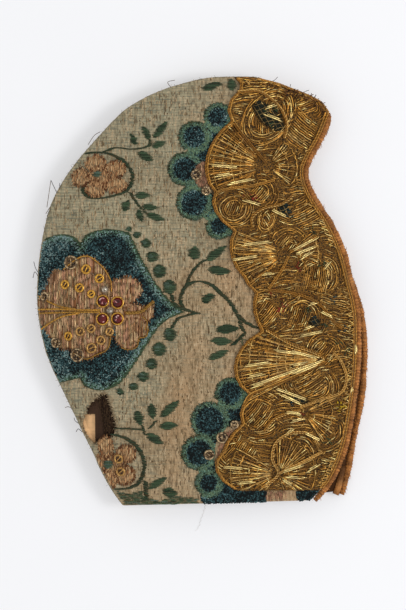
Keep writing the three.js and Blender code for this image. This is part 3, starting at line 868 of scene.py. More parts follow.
def metal_thread(name, roughness, metallic, fleck=0.4):
    """Wound metal thread, tarnished in places."""
    made = Finish(name, Specular_IOR_Level=0.5)
    grain = made.noise(1.7)
    tarnish = made.stepped(made.noise(0.16, 3.0, 17.0), 0.46, 0.68)
    shade = made.mixed(made.stepped(grain, 0.45, 0.7) * fleck, made.tint(), screen(58, 36, 10))
    shade = made.mixed(tarnish * 0.35, shade, screen(74, 52, 22))
    return made.feed(Base_Color=shade, Normal=made.bump(grain, 0.16), Roughness=roughness + tarnish * 0.2,
                     Metallic=metallic - tarnish * 0.3)


def lace_net():
    """Dark close net that the lace's threads are worked on."""
    made = Finish("lace_net", Roughness=0.7, Specular_IOR_Level=0.3)
    mesh = made.node("ShaderNodeTexVoronoi", {"feature": "DISTANCE_TO_EDGE"},
                     {"Vector": made.where, "Scale": 0.95})
    cord = made.stepped(mesh, 0.22, 0.06)
    grain = made.noise(1.1)
    silk_below = made.stepped(made.noise(0.12, 3.0, 3.0), 0.55, 0.68)
    ground = made.mixed(silk_below * 0.5, screen(54, 34, 11), screen(74, 66, 40))
    ground = made.mixed(cord, ground, screen(132, 93, 38))
    ground = made.mixed(made.stepped(grain, 0.5, 0.72) * 0.6, ground, screen(36, 24, 8))
    relief = grain * 0.5 - made.stepped(mesh, 0.05, 0.3)
    return made.feed(Base_Color=ground, Normal=made.bump(relief, 0.3), Metallic=cord * 0.5)


def rolled_silk():
    """Orange-brown ribbed silk of the binding."""
    made = Finish("rolled_silk", Specular_IOR_Level=0.2)
    grain = made.noise((1.6, 1.2, 1.6))
    wear = made.stepped(made.noise((0.2, 0.12, 0.2), 4.0, 9.0), 0.52, 0.7)
    shade = made.mixed(made.stepped(grain, 0.46, 0.66) * 0.7, made.tint(), screen(84, 42, 12))
    shade = made.mixed(wear * 0.35, shade, screen(190, 140, 88))
    return made.feed(Base_Color=shade, Normal=made.bump(grain, 0.5), Roughness=0.65 + wear * 0.2)


def ring_gold(name, bright, dull):
    """Gilt wire, duller in the grooves."""
    made = Finish(name, Roughness=0.3)
    grain = made.noise(1.6)
    shade = made.mixed(made.stepped(grain, 0.42, 0.68), screen(*bright), screen(*dull))
    return made.feed(Base_Color=shade, Normal=made.bump(grain, 0.12), Metallic=0.75 - grain * 0.2)


def foil_tarnish_and_painted_shade():
    """Tarnished foil at the bottom of a ring, darkened further as painted shade inside the ring."""
    made = Finish("foil_tarnish_and_painted_shade", Roughness=0.4)
    grain = made.noise(1.3)
    shade = made.mixed(made.stepped(grain, 0.5, 0.64), screen(66, 40, 16), screen(150, 110, 62))
    return made.feed(Base_Color=shade, Normal=made.bump(grain, 0.2), Metallic=0.3 + grain * 0.2)


def clear_glass(name, tone, dark):
    """Glass over foil, with dark flecks."""
    made = Finish(name, Roughness=0.14, Specular_IOR_Level=0.4)
    grain = made.noise(0.9, 2.0)
    shade = made.mixed(made.stepped(grain, 0.42, 0.6), tone, dark)
    return made.feed(Base_Color=shade, Normal=made.bump(grain, 0.1),
                     Metallic=0.35 + made.stepped(grain, 0.6, 0.4) * 0.4)


def pale_table(tone):
    """Plain pale paper with hardly any grain."""
    made = Finish("pale_table", Roughness=0.9, Specular_IOR_Level=0.1, Emission_Color=(*tone, 1.0),
                  Emission_Strength=TABLE_GLOW)
    grain = made.noise(0.02, 2.0)
    tone = [part * (1 - TABLE_GLOW) for part in tone]
    shade = made.mixed(made.stepped(grain, 0.3, 0.7) * 0.4, tone, [part * 0.985 for part in tone])
    return made.feed(Base_Color=shade)


# Cloth

HOLE_PULL = 0.6  # share of the pitch within which the cloth's points move to the edge of the tear


def plan_quads(rows, columns):
    """Faces of a grid of points."""
    first = (np.arange(rows - 1)[:, None] * columns + np.arange(columns - 1)).ravel()
    return np.stack([first, first + 1, first + columns + 1, first + columns], 1)


def grid_points(x, rows):
    """Points of a grid, from the x along each of its rows."""
    return np.stack([x, np.broadcast_to(rows[:, None], x.shape)], -1).reshape(-1, 2)


def closed_sheet(name, face, xy, quads, lifts, finishes):
    """A closed sheet over a face, its outer and inner side in their own finishes."""
    quads = quads[:, ::face.side]
    count = len(xy)
    ways = np.stack([quads, np.roll(quads, -1, 1)], 2).reshape(-1, 2)
    rim = ways[~np.isin(ways[:, 0] * count + ways[:, 1], ways[:, 1] * count + ways[:, 0])]
    walls = np.stack([rim[:, 1], rim[:, 0], rim[:, 0] + count, rim[:, 1] + count], 1)
    faces = np.vstack([quads, quads[:, ::-1] + count, walls])
    points = np.vstack([face.lay(xy, lift)[0] for lift in lifts])
    low, high = xy.min(0), xy.max(0)
    chart = (np.vstack([xy, xy]) - low) / (high - low) * (0.48, 0.98) + 0.01
    uv = chart[faces]
    uv[len(quads):2 * len(quads), :, 0] += 0.5
    inner = np.zeros(len(faces), int)
    inner[len(quads):2 * len(quads)] = len(finishes) - 1
    return piece(name, points, faces, finishes, uv.reshape(-1, 2), None, inner)


def grid_sheet(name, face, node, lifts, pitch, finishes, hole=None):
    """A closed sheet over a face, in the place of a CAD node and with its outline."""
    edge = band(node)
    rows = np.linspace(edge.rows[0], edge.rows[-1], math.ceil((edge.rows[-1] - edge.rows[0]) / pitch))
    left, right = edge.edges(rows)
    columns = math.ceil((right - left).max() / pitch)
    xy = grid_points(left[:, None] + (right - left)[:, None] * np.linspace(0, 1, columns), rows)
    quads = plan_quads(len(rows), columns)
    if hole is not None:
        gap = np.linalg.norm(xy[:, None] - hole[None], axis=2)
        near = gap.min(1) < pitch * HOLE_PULL
        xy[near] = hole[gap[near].argmin(1)]
        quads = quads[~inside(hole, xy[quads].mean(1))]
    made = closed_sheet(name, face, xy, quads, lifts, finishes)
    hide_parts(node)
    return made


def tear_outline():
    """The tear's edge, a little ragged."""
    line = smooth_loop(HOLE, 0.6)
    return line + drawn("tear").normal(0, 0.16, line.shape)


def side_panels(colours):
    """Both silk side panels with their linen lining."""
    brocade = silk_brocade(colours.silk)
    lining = plain_linen("brown_lining", screen(74, 44, 18))
    upper = grid_sheet("bonnet_side_upper", upper_face(), "side_panel_upper", (0, -WALL), PANEL_PITCH,
                       [brocade, lining], tear_outline())
    lower = grid_sheet("bonnet_side_lower", lower_face(), "side_panel_lower", (0, -WALL), LOWER_PITCH,
                       [brocade, lining])


def worn_place():
    """Interlining and card that show in the tear, the interlining's fuzz and the frayed edge of the silk."""
    card = plain_linen("cream_card", screen(238, 190, 138), 0.5)
    cloth = plain_linen("brown_interlining", screen(62, 42, 28), 1.1)
    for node, finish in (("interlining", cloth), ("stiffener", card)):
        NODES[node].data.materials.clear()
        NODES[node].data.materials.append(finish)
    card_margin(card)
    rng = drawn("worn place")
    edge = tear_outline()
    interlining_fuzz(edge, rng)
    torn_edge(edge, rng)


def card_margin(card):
    """Strip of card between the tear and the seam."""
    rows = np.linspace(CARD_FOOT, CARD_TOP, CARD_ROWS)
    seam = band("side_panel_upper").edges(rows)[0][:, None] + CARD_INSET
    x = seam + (CARD_EDGE + CARD_LAP - seam) * np.linspace(0, 1, CARD_COLUMNS)
    depth = np.interp((x - seam).ravel(), (0, CARD_DIP_REACH), CARD_DIP)
    closed_sheet("card_margin", upper_face(), grid_points(x, rows), plan_quads(CARD_ROWS, CARD_COLUMNS),
                 (-depth, -depth - CARD_THICK), [card])


def interlining_fuzz(edge, rng):
    """Short upright fibres on the brown interlining."""
    fuzz = Threads("interlining_fuzz")
    spots = rng.uniform(edge.min(0), edge.max(0), (FUZZ_TRIES, 2))
    spots = spots[inside(edge, spots) & ~((spots[:, 0] < CARD_EDGE) & (spots[:, 1] < CARD_TOP))]
    tones = blended(rng, len(spots), screen(34, 20, 12), screen(64, 44, 28), screen(92, 70, 46))
    for spot, tone in zip(spots, tones):
        half = heading(rng.normal(0, 22), (0.0, 1.0)) * rng.uniform(0.5, 1.3)
        lift = -WALL + np.array([-0.1, rng.uniform(0.2, 0.7), 0.0])
        fuzz.lay(dash(spot, half, 3), lift, 0.12, tone)
    fuzz.build(dyed_thread("brown_fibre", 0.8), "interlining")


def torn_edge(edge, rng):
    """Frayed ends of silk round the tear, shorter over the card."""
    fray = Threads("torn_edge_threads")
    spots, ways = along(closed(edge), 0.42)
    tones = blended(rng, len(spots), screen(140, 116, 84), screen(196, 172, 136), screen(112, 98, 74))
    for spot, way, tone in zip(spots, ways, tones):
        inward = left_of(way)
        inward *= 1 if inside(edge, (spot + inward * 0.4)[None])[0] else -1
        reach = inward * rng.uniform(0.3, 1.7 if spot[0] > CARD_EDGE else 0.7) + rng.normal(0, 0.3, 2)
        xy = spot + np.array([-0.9, 0.0, 0.6, 1.0])[:, None] * reach
        fray.lay(xy, np.array([0.1, 0.12, -0.2, -0.9]) * rng.uniform(0.6, 1.3), 0.11, tone)
    fray.build(dyed_thread("frayed_silk", 0.7), "brocade")


# Stitching and pile

LEAST_FLOAT = 0.3  # shorter threads are left out
STEM_STEP = 0.6
PILE_INSET = 1.6  # how much narrower the pile is than its lobe
PILE_CLOUD_LEFT = -66.0  # paler pile left of this line
PILE_SHADE_BELOW, PILE_SHADE_RIGHT = -45.0, -20.0  # darker pile of the lower flower
PILE_DARK, PILE_LIGHT, PILE_FLECK = 0.36, 0.66, 0.84  # tips are dark below the first, then light, then pale
SLUB_TRIES = 7200  # places tried for a slub
SLUB_BOX = ((-82.0, -106.0), (32.0, 106.0))
PETAL_EDGE_SHARE = 0.6  # share of the stitches round a petal that are worked
TWIST_STEPS = 6  # points in each turn of a cord
COUCHING = 3.2  # spacing of the stitches that hold a cord down


def leaf_outlines():
    """Leaves and berries of the brocade."""
    return [leaf(*row) for row in at_places(LEAVES)] + ovals(BERRIES)


def lobe_outlines(less=0.0):
    """Outlines of the pile lobes, less wide by a length."""
    return [oval(hub, 2 * radius - less, 2 * radius - less) for hub, radius, _ in at_places(LOBES)]


def great_flower_outline():
    """Closed outline of the great flower."""
    strokes = [smooth_line(placed(stroke), 1.0) for stroke in GREAT_FLOWER]
    return np.vstack([*strokes, placed(GREAT_FLOWER_SEAM)])


def petal_outlines():
    """Outlines of everything that is filled with tan threads, the great flower's petals first."""
    great = [smooth_loop(placed(points), 1.0) for points in GREAT_PETALS.values()]
    hearts = [smooth_loop(placed(points), 1.0) for points in FLOWER_HEARTS]
    return great, hearts, ovals(SMALL_PETALS)


def on_silk(xy, inset=0.3):
    """Which points lie on bare silk: on the panel, clear of the lace."""
    bare = band("side_panel_upper").holds(xy, inset, inset)
    return bare & ~band("gold_lace_upper").holds(xy, 1.0, -9.0)


def scallops(xy):
    """Light and shade of the great flower's petals, in bands round its middle."""
    gap = np.linalg.norm((xy - placed(PETAL_MIDDLE)) * (0.9, 1.15), axis=1)
    return 1 + 0.24 * np.sin(gap * 1.55) + 0.1 * np.sin(gap * 0.6 + 2.0)


def stitch_cuts(start, way, length, stitch, rng):
    """Where a thread is broken into stitches, as shares of its length."""
    if not stitch:
        return np.array([0.0, 1.0])
    phase = (start @ way + rng.uniform(-0.5, 0.5) * stitch) / stitch
    inner = (np.ceil(phase + np.arange(length / stitch)) - phase) * stitch / length
    return np.concatenate([[0], inner[(inner > 0.08) & (inner < 0.92)], [1]])


def floats(threads, outline, pitch, turn, radius, tones, rng, ragged, lift=0.16, bow=0.12, step=2.2,
           stitch=0.0, shade=None, stripe=0.0):
    """Fills an outline with parallel threads, ragged at their ends and broken into stitches of a length."""
    for row, (start, end) in enumerate(scanned(outline, pitch, turn)):
        length = np.linalg.norm(end - start)
        if length < LEAST_FLOAT:
            continue
        way = (end - start) / length
        start, end = start - way * rng.normal(0, ragged), end + way * rng.normal(0, ragged)
        cuts = stitch_cuts(start, way, length, stitch, rng)
        for low, high in zip(cuts, cuts[1:]):
            count = max(4, math.ceil(length * (high - low) / step) + 1)
            t = np.linspace(0, 1, count)
            xy = start + (low + t[:, None] * (high - low)) * (end - start) + rng.normal(0, 0.05, (count, 2))
            tone = one_tone(rng, *tones) * rng.uniform(0.85, 1.15, (count, 1)) * (1 - stripe * (row % 2))
            if shade:
                tone = tone * shade(xy)[:, None]
            strand = np.column_stack([xy, lift + bow * np.sin(math.pi * t), tone])
            for part in runs(strand, on_silk(xy)):
                threads.lay(part[:, :2], part[:, 2], radius, part[:, 3:])


def line_stitches(threads, pixels, width, pitch, tones, rng):
    """Works a line in short level floats, slanted where the line runs across."""
    for spot, way in zip(*along(smooth_line(placed(pixels), STEM_STEP), pitch * 0.8)):
        half = min(width / 2 / max(abs(way[1]), 0.35), width) * rng.uniform(0.7, 1.35)
        lie = np.array([1.0, 0.35 * way[1] * np.sign(way[0] or 1)])
        xy = dash(spot, half * lie, 4) + rng.normal(0, 0.12, (1, 2))
        if on_silk(xy).all():
            threads.lay(xy, [0.1, 0.3, 0.3, 0.1], pitch * 0.5, one_tone(rng, *tones))


def lobe_rims(threads, pitch, tones, rng):
    """Short stitches over the outer edge of each pile lobe, clear of the other lobes."""
    for number, (hub, radius, flower) in enumerate(at_places(LOBES)):
        middle = placed(FLOWER_MIDDLES[flower])
        others = lobe_outlines(2)
        del others[number]
        for spot in along(closed(oval(hub, 2 * radius, 2 * radius, 0, 90)), pitch * 0.8)[0]:
            out = (spot - hub) / radius
            if out @ (spot - middle) < -0.15 * radius or inside_any(others, spot[None])[0]:
                continue
            depth = np.linspace(rng.uniform(0.0, 0.7), -1.8, 4)[:, None] * rng.uniform(0.7, 1.15)
            lie = out * 0.75 + np.array([0.5 * np.sign(out[0]), 0])
            xy = spot + depth * lie + rng.normal(0, 0.12, (1, 2))
            if on_silk(xy).all():
                threads.lay(xy, [0.1, 0.32, 0.4, 0.3], pitch * 0.52, one_tone(rng, *tones))


def leaf_stitching(colours, sizes):
    """Green leaves, berries, stems and flower outlines, all in short level floats as brocade is woven."""
    rng = drawn("leaves")
    green, brown = np.array(colours.leaf), screen(70, 58, 32)
    tones = (green * 0.55, green, green * 1.6 + 0.004)
    dark = (green * 0.5, green * 0.8, brown)
    pale = (green * 1.5, screen(92, 112, 98), green)
    pitch = sizes.float_pitch / MM
    threads = Threads("leaf_floats")
    for outline in leaf_outlines():
        floats(threads, outline, pitch, 0, pitch * 0.56, tones, rng, 0.3)
    for middle, width, height in at_places(BERRIES):
        heart = oval(middle + (-0.13 * width, 0.1 * height), width * 0.5, height * 0.5)
        floats(threads, heart, pitch * 1.3, 0, pitch * 0.5, pale, rng, 0.3, lift=0.45)
    for eye in ovals(FLOWER_EYES):
        floats(threads, eye, pitch, 0, pitch * 0.55, pale, rng, 0.3, lift=0.75)
    mingled = (*tones, *pale, brown * 2.0)
    floats(threads, placed(HEM_WEAVE), pitch * 1.25, 0, pitch * 0.55, mingled, rng, 0.6, stitch=4.0)
    for width, pixels in STEMS:
        line_stitches(threads, pixels, width * 1.2, pitch, dark, rng)
    for pixels in GREAT_FLOWER:
        line_stitches(threads, pixels, 2.6, pitch, tones, rng)
    lobe_rims(threads, pitch, (*dark, *pale, *pale), rng)
    threads.build(dyed_thread("leaf_silk", 0.55), "brocade")


def nearest(points, lines):
    """Distance of each point to the nearest point of the lines."""
    marks = np.vstack(lines)
    return np.concatenate([np.linalg.norm(lot[:, None] - marks[None], axis=2).min(1)
                           for lot in np.array_split(points, max(1, len(points) // 500))])


def pile_spots(beds, pitch, rng):
    """Feet of the tufts, a little uneven, on the beds and clear of the petals."""
    great, hearts, _ = petal_outlines()
    reach = np.vstack(beds)
    xs, ys = (np.arange(a, b, pitch) for a, b in zip(reach.min(0), reach.max(0)))
    spots = np.stack(np.meshgrid(xs, ys), -1).reshape(-1, 2)
    spots = spots + rng.uniform(-0.45, 0.45, spots.shape) * pitch
    return spots[inside_any(beds, spots) & ~inside_any(great + hearts, spots) & on_silk(spots, 0.6)]


def pile_tips(spots, in_great, lobes, blue, rng):
    """Colours of the tufts' tips: greener at the edge, nearly black in the middle, with pale flecks."""
    flower = smooth_line(placed(np.vstack(GREAT_FLOWER)), 0.8)
    depth = np.where(in_great, nearest(spots, [flower]), nearest(spots, lobes))
    edge = np.clip(1.3 - depth / np.where(in_great, 2.6, 1.8), 0, 1)
    x, y = spots.T
    cloudy = np.sin(x * 0.55 + 1.3) * np.sin(y * 0.6 + 0.4)
    cloudy += np.sin(x * 0.23 - y * 0.31) + 2.2 * (x < PILE_CLOUD_LEFT)
    heart = np.exp(-(np.linalg.norm(spots - placed(PILE_HEART), axis=1) / PILE_HEART_REACH) ** 2)
    draw = rng.random(len(spots)) + 0.1 * cloudy + np.where(in_great, 0.34, 0.55) * edge - 0.16 * heart - 0.15
    draw = (draw - 0.1 * ((y < PILE_SHADE_BELOW) & (x > PILE_SHADE_RIGHT)))[:, None]
    greener = edge[:, None] * 0.7
    tips = blue * (1 - greener) + screen(88, 114, 90) * greener
    tips = np.where(draw < PILE_DARK, tips * 0.14, tips * 1.35)
    tips = np.where(draw > PILE_LIGHT, tips * 1.9 + 0.014, tips)
    pale = np.where((in_great | (edge < 0.3))[:, None], screen(142, 168, 164), screen(118, 142, 108))
    tips = np.where(draw > PILE_FLECK, pale, tips)
    return tips * rng.uniform(0.7, 1.3, draw.shape)


def pile_flowers(colours, sizes):
    """Cut pile of the blue flowers, in slim upright tufts of four faces."""
    rng = drawn("pile")
    pitch, tall = sizes.pile_pitch / MM, sizes.pile_height / MM
    lobes = lobe_outlines(PILE_INSET)
    beds = [great_flower_outline(), *lobes] + [smooth_loop(placed(bed), 1.0) for bed in PILE_BEDS]
    spots = pile_spots(beds, pitch, rng)
    count = len(spots)
    feet, ups = upper_face().lay(spots, 0.0)
    tips = pile_tips(spots, inside(beds[0], spots), lobes, np.array(colours.pile), rng)
    lean = rng.normal(0, 0.35, (count, 3)) * (1, 1, 0)
    tops = feet + ups * (tall * rng.uniform(0.6, 1.25, count))[:, None] + lean * tall
    spin = rng.uniform(0, math.pi, count)
    corners = []
    for a in (spin + quarter * math.pi / 2 for quarter in range(4)):
        corners.append(feet + pitch * 1.15 * np.stack([np.cos(a), np.sin(a), 0 * a], 1) + ups * 0.15)
    points = np.stack([*corners, tops], 1).reshape(-1, 3)
    pattern = np.array([(0, 1, 4), (1, 2, 4), (2, 3, 4), (3, 0, 4)])
    faces = (np.arange(count)[:, None, None] * 5 + pattern).reshape(-1, 3)
    # The tufts' feet are painted at half their tips' colour: painted shade down among the tufts.
    tones = np.stack([tips * 0.5] * 4 + [tips], 1).reshape(-1, 3)
    corner, size = cells(count)
    chart = np.array([(0.1, 0.1), (0.9, 0.1), (0.9, 0.9), (0.1, 0.9), (0.5, 0.5)])
    uv = (corner[:, None, None] + chart[pattern] * size).reshape(-1, 2)
    piece("pile_tufts", points, faces, [dyed_thread("pile_silk", 0.7)], uv, tones)


def petal_edges(threads, outlines, pitch, tones, rng):
    """Short dark stitches here and there round the petals."""
    for outline in outlines:
        for spot, way in zip(*along(closed(outline), pitch * 0.75)):
            inward = left_of(way)
            lie = inward * 0.6 + (0, 0.5 * np.sign(inward[1]))
            xy = spot + np.linspace(-0.6, 1.0, 4)[:, None] * lie + rng.normal(0, 0.2, (1, 2))
            if on_silk(xy).all() and rng.random() < PETAL_EDGE_SHARE:
                threads.lay(xy, [0.2, 0.6, 0.6, 0.2], 0.26, one_tone(rng, *tones))


def tan_petals(colours, sizes):
    """Petals filled with upright tan stitches, with darker edges."""
    rng = drawn("petals")
    tan, rose, rust = np.array(colours.petal), screen(184, 134, 104), screen(104, 62, 32)
    pale, olive = screen(214, 180, 134), screen(160, 132, 92)
    pitch = sizes.petal_pitch / MM
    great, hearts, small = petal_outlines()
    threads = Threads("petal_threads")
    striped = (rust * 1.5, tan, rose * 1.2, pale * 1.1, olive * 1.2)
    for outline in great:
        floats(threads, outline, pitch, 90, pitch * 0.54, striped,
               rng, 0.35, lift=0.28, bow=0.1, step=1.3, stitch=5.0, shade=scallops, stripe=0.34)
    for outline in hearts:
        floats(threads, outline, pitch, 90, pitch * 0.48, (rose * 0.6, rose, pale),
               rng, 0.3, lift=0.3, bow=0.2, step=1.6, stitch=4.0, stripe=0.2)
    warm = (rust * 1.8, tan * 1.2, tan * 1.35, pale * 1.1)
    for outline in small:
        floats(threads, outline, pitch * 0.9, 90, pitch * 0.45, warm,
               rng, 0.5, lift=0.2, bow=0.15, step=1.4, stitch=3.4, stripe=0.25)
    petal_edges(threads, great + small, pitch, (rust * 0.7, rust, tan * 1.2), rng)
    threads.build(dyed_thread("petal_silk", 0.5), "brocade")


def silk_slubs():
    """Raised upright slubs of the silk ground."""
    rng = drawn("slubs")
    _, hearts, small = petal_outlines()
    covered = [great_flower_outline(), *leaf_outlines(), *hearts, *small, np.array(HOLE), *lobe_outlines()]
    spots = rng.uniform(*SLUB_BOX, (SLUB_TRIES, 2))
    spots = spots[on_silk(spots, 1.5) & ~inside_any(covered, spots)]
    tones = blended(rng, len(spots), screen(88, 66, 42), screen(130, 108, 76), screen(172, 146, 110),
                    screen(208, 184, 148))
    threads = Threads("silk_slubs")
    for spot, tone in zip(spots, tones):
        half = rng.gamma(2.0, 0.45)
        xy = spot + np.linspace(-half, half, 4)[:, None] * (rng.normal(0, 0.02), 1)
        xy[:, 0] += rng.normal(0, 0.04, 4)
        if on_silk(xy).all() and not inside_any(covered, xy).any():
            threads.lay(xy, [-0.1, 0.07, 0.07, -0.1], rng.uniform(0.14, 0.27), tone, 0.6, 0.3)
    threads.build(dyed_thread("slub_silk", 0.65), "brocade")


def twisted(threads, line, lift, width, tones, rng, turn_length):
    """A cord of two strands twisted round each other along a line on the upper side."""
    points, ways = along(line, turn_length / TWIST_STEPS)
    if len(points) < 4:
        return
    middle, ups = upper_face().lay(points, lift)
    across = np.column_stack([left_of(ways), np.zeros(len(ways))])
    for start in (0, math.pi):
        a = np.arange(len(points)) * 2 * math.pi / TWIST_STEPS + start
        centre = middle + width * 0.26 * (np.cos(a)[:, None] * across + np.sin(a)[:, None] * ups)
        tone = one_tone(rng, *tones) * rng.uniform(0.85, 1.15, (len(points), 1))
        threads.add(centre, ups, width * 0.29, tone)


def couched_cords():
    """Gold cords couched on the great flower, each held down by small stitches."""
    rng = drawn("cords")
    gold = screen(204, 152, 64)
    threads = Threads("couched_cords")
    for width, points in COUCHED:
        line = smooth_line(placed(points), 0.5)
        line = line[on_silk(line)]
        twisted(threads, line, 1.2, width, (gold * 0.6, gold, gold * 1.35), rng, width * 1.8)
        for spot, way in zip(*along(line, COUCHING)):
            over = [0.4, 1.2, 1.35 + width * 0.45, 1.2, 0.4]
            threads.lay(dash(spot, left_of(way) * width * 0.75, 5), over, 0.11, gold * 0.3)
    threads.build(metal_thread("couched_gold", 0.42, 0.55), "gold_wire")


# Gold lace

LACE_STEP = 1.5
LACE_SHINE = screen(255, 224, 146)
LACE_GLINTS, LACE_GLINT_GAIN = 0.14, 1.9  # share of a thread's points that glint, and by how much
LACE_STRIP_SHARE = 0.3  # threads with a bright strip
LACE_SHADOWS = 0.45  # share of the short ends that are near-black, as painted shadow in the lace
LACE_DYES = {
    "red": screen(140, 52, 34), "green": screen(58, 76, 50), "teal": screen(38, 66, 70),
    "yellow": screen(198, 160, 36),
}
LACE_TONES = [screen(124, 80, 25), screen(180, 126, 50), screen(214, 160, 74), screen(244, 202, 122)]
LACE_PITCH = 1.2
LACE_SPECKS = 1300  # short ends that break up the lace, of gold thread and of near-black painted shadow
LACE_PAINTED_LIGHT_HEIGHTS = (80.0, 92.0)  # heights over which the lace is painted paler: painted light on the lace's top near the crown
LACE_PAINTED_LIGHT_GAIN = 1.45


def sector(middle, reach, start, end, stretch=1.0, turn=0.0):
    """Outline of a fan or of a whorl."""
    a = np.radians(np.linspace(start, end, 40))
    rim = np.stack([reach * np.cos(a), reach * np.sin(a) * stretch], 1)
    return middle + turned(rim if end - start >= 360 else np.vstack([rim, [(0, 0)]]), turn)


def block(middle, length, width, turn):
    """Outline of a hatched place."""
    return middle + turned(np.array([(-1, -1), (1, -1), (1, 1), (-1, 1)]) * (length / 2, width / 2), turn)


def fan_lines(hub, start, end, inner, reach, count, rng):
    """Threads that spread from a hub, with a few arcs across them."""
    for turn in np.linspace(start, end, count):
        r = np.arange(inner + rng.uniform(0, 1.5), reach, LACE_STEP)
        a = np.radians(turn + rng.normal(0, 0.5)) + rng.normal(0, 0.02) * np.sin(r / reach * 3)
        yield hub + np.stack([r * np.cos(a), r * np.sin(a)], 1)
    for r in np.arange(inner + 3.0, reach, 4.4):
        a = np.radians(np.arange(start, end, math.degrees(LACE_STEP / r)))
        wave = r + 0.35 * np.sin(a * r * 2.2)
        yield hub + np.stack([wave * np.cos(a), wave * np.sin(a)], 1)


def whorl_lines(middle, inner, outer, start, end, stretch, turn, pitch, rng):
    """Rounds of thread one inside the other."""
    for r in np.arange(inner, outer, pitch):
        a = np.radians(np.arange(start, end + 0.1, math.degrees(LACE_STEP / max(r, 1.5))))
        sway = min(0.25, 0.035 * r)
        wave = r + sway * np.sin(3 * a + rng.uniform(0, 6)) + sway * 0.5 * np.sin(7 * a + rng.uniform(0, 6))
        line = middle + turned(np.stack([wave * np.cos(a), wave * np.sin(a) * stretch], 1), turn)
        yield from runs(line, rng.random(len(line)) > 0.07)


def hatch_lines(middle, length, width, turn, pitch, rng):
    """Threads side by side, a little bowed."""
    for side in np.arange(-width / 2, width / 2, pitch):
        t = np.arange(-length / 2, length / 2, LACE_STEP)
        bow = side + 0.012 * t**2 + rng.normal(0, 0.08) + 0.12 * np.sin(t * 1.3 + side)
        yield middle + turned(np.stack([t + rng.normal(0, 0.5), bow], 1), turn)


def net_lines(edge, pitch, rng):
    """Wandering threads from the scalloped edge to the front edge."""
    for y in np.arange(edge.rows[0], edge.rows[-1], pitch):
        left, right = (float(side) for side in edge.edges(y))
        x = np.arange(left, right, LACE_STEP * 1.2)
        if len(x) > 3:
            sway = 1.5 * np.sin(x * 0.16 + y * 0.09) + 0.3 * np.sin(x * 0.74 - y * 0.4) + rng.normal(0, 0.2)
            yield np.stack([x, y + sway], 1)


def lace_relief(xy):
    """Soft rise and fall of the lace."""
    x, y = xy.T
    return 0.28 * np.sin(x * 0.33 + y * 0.21) + 0.22 * np.sin(x * 0.61 - y * 0.47 + 1.0)


def edge_line(edge, side, inset):
    """A line along the left or the right edge of a band."""
    x = edge.rights - inset if side == "right" else edge.lefts + inset
    return np.stack([x, edge.rows], 1)[2:-2]


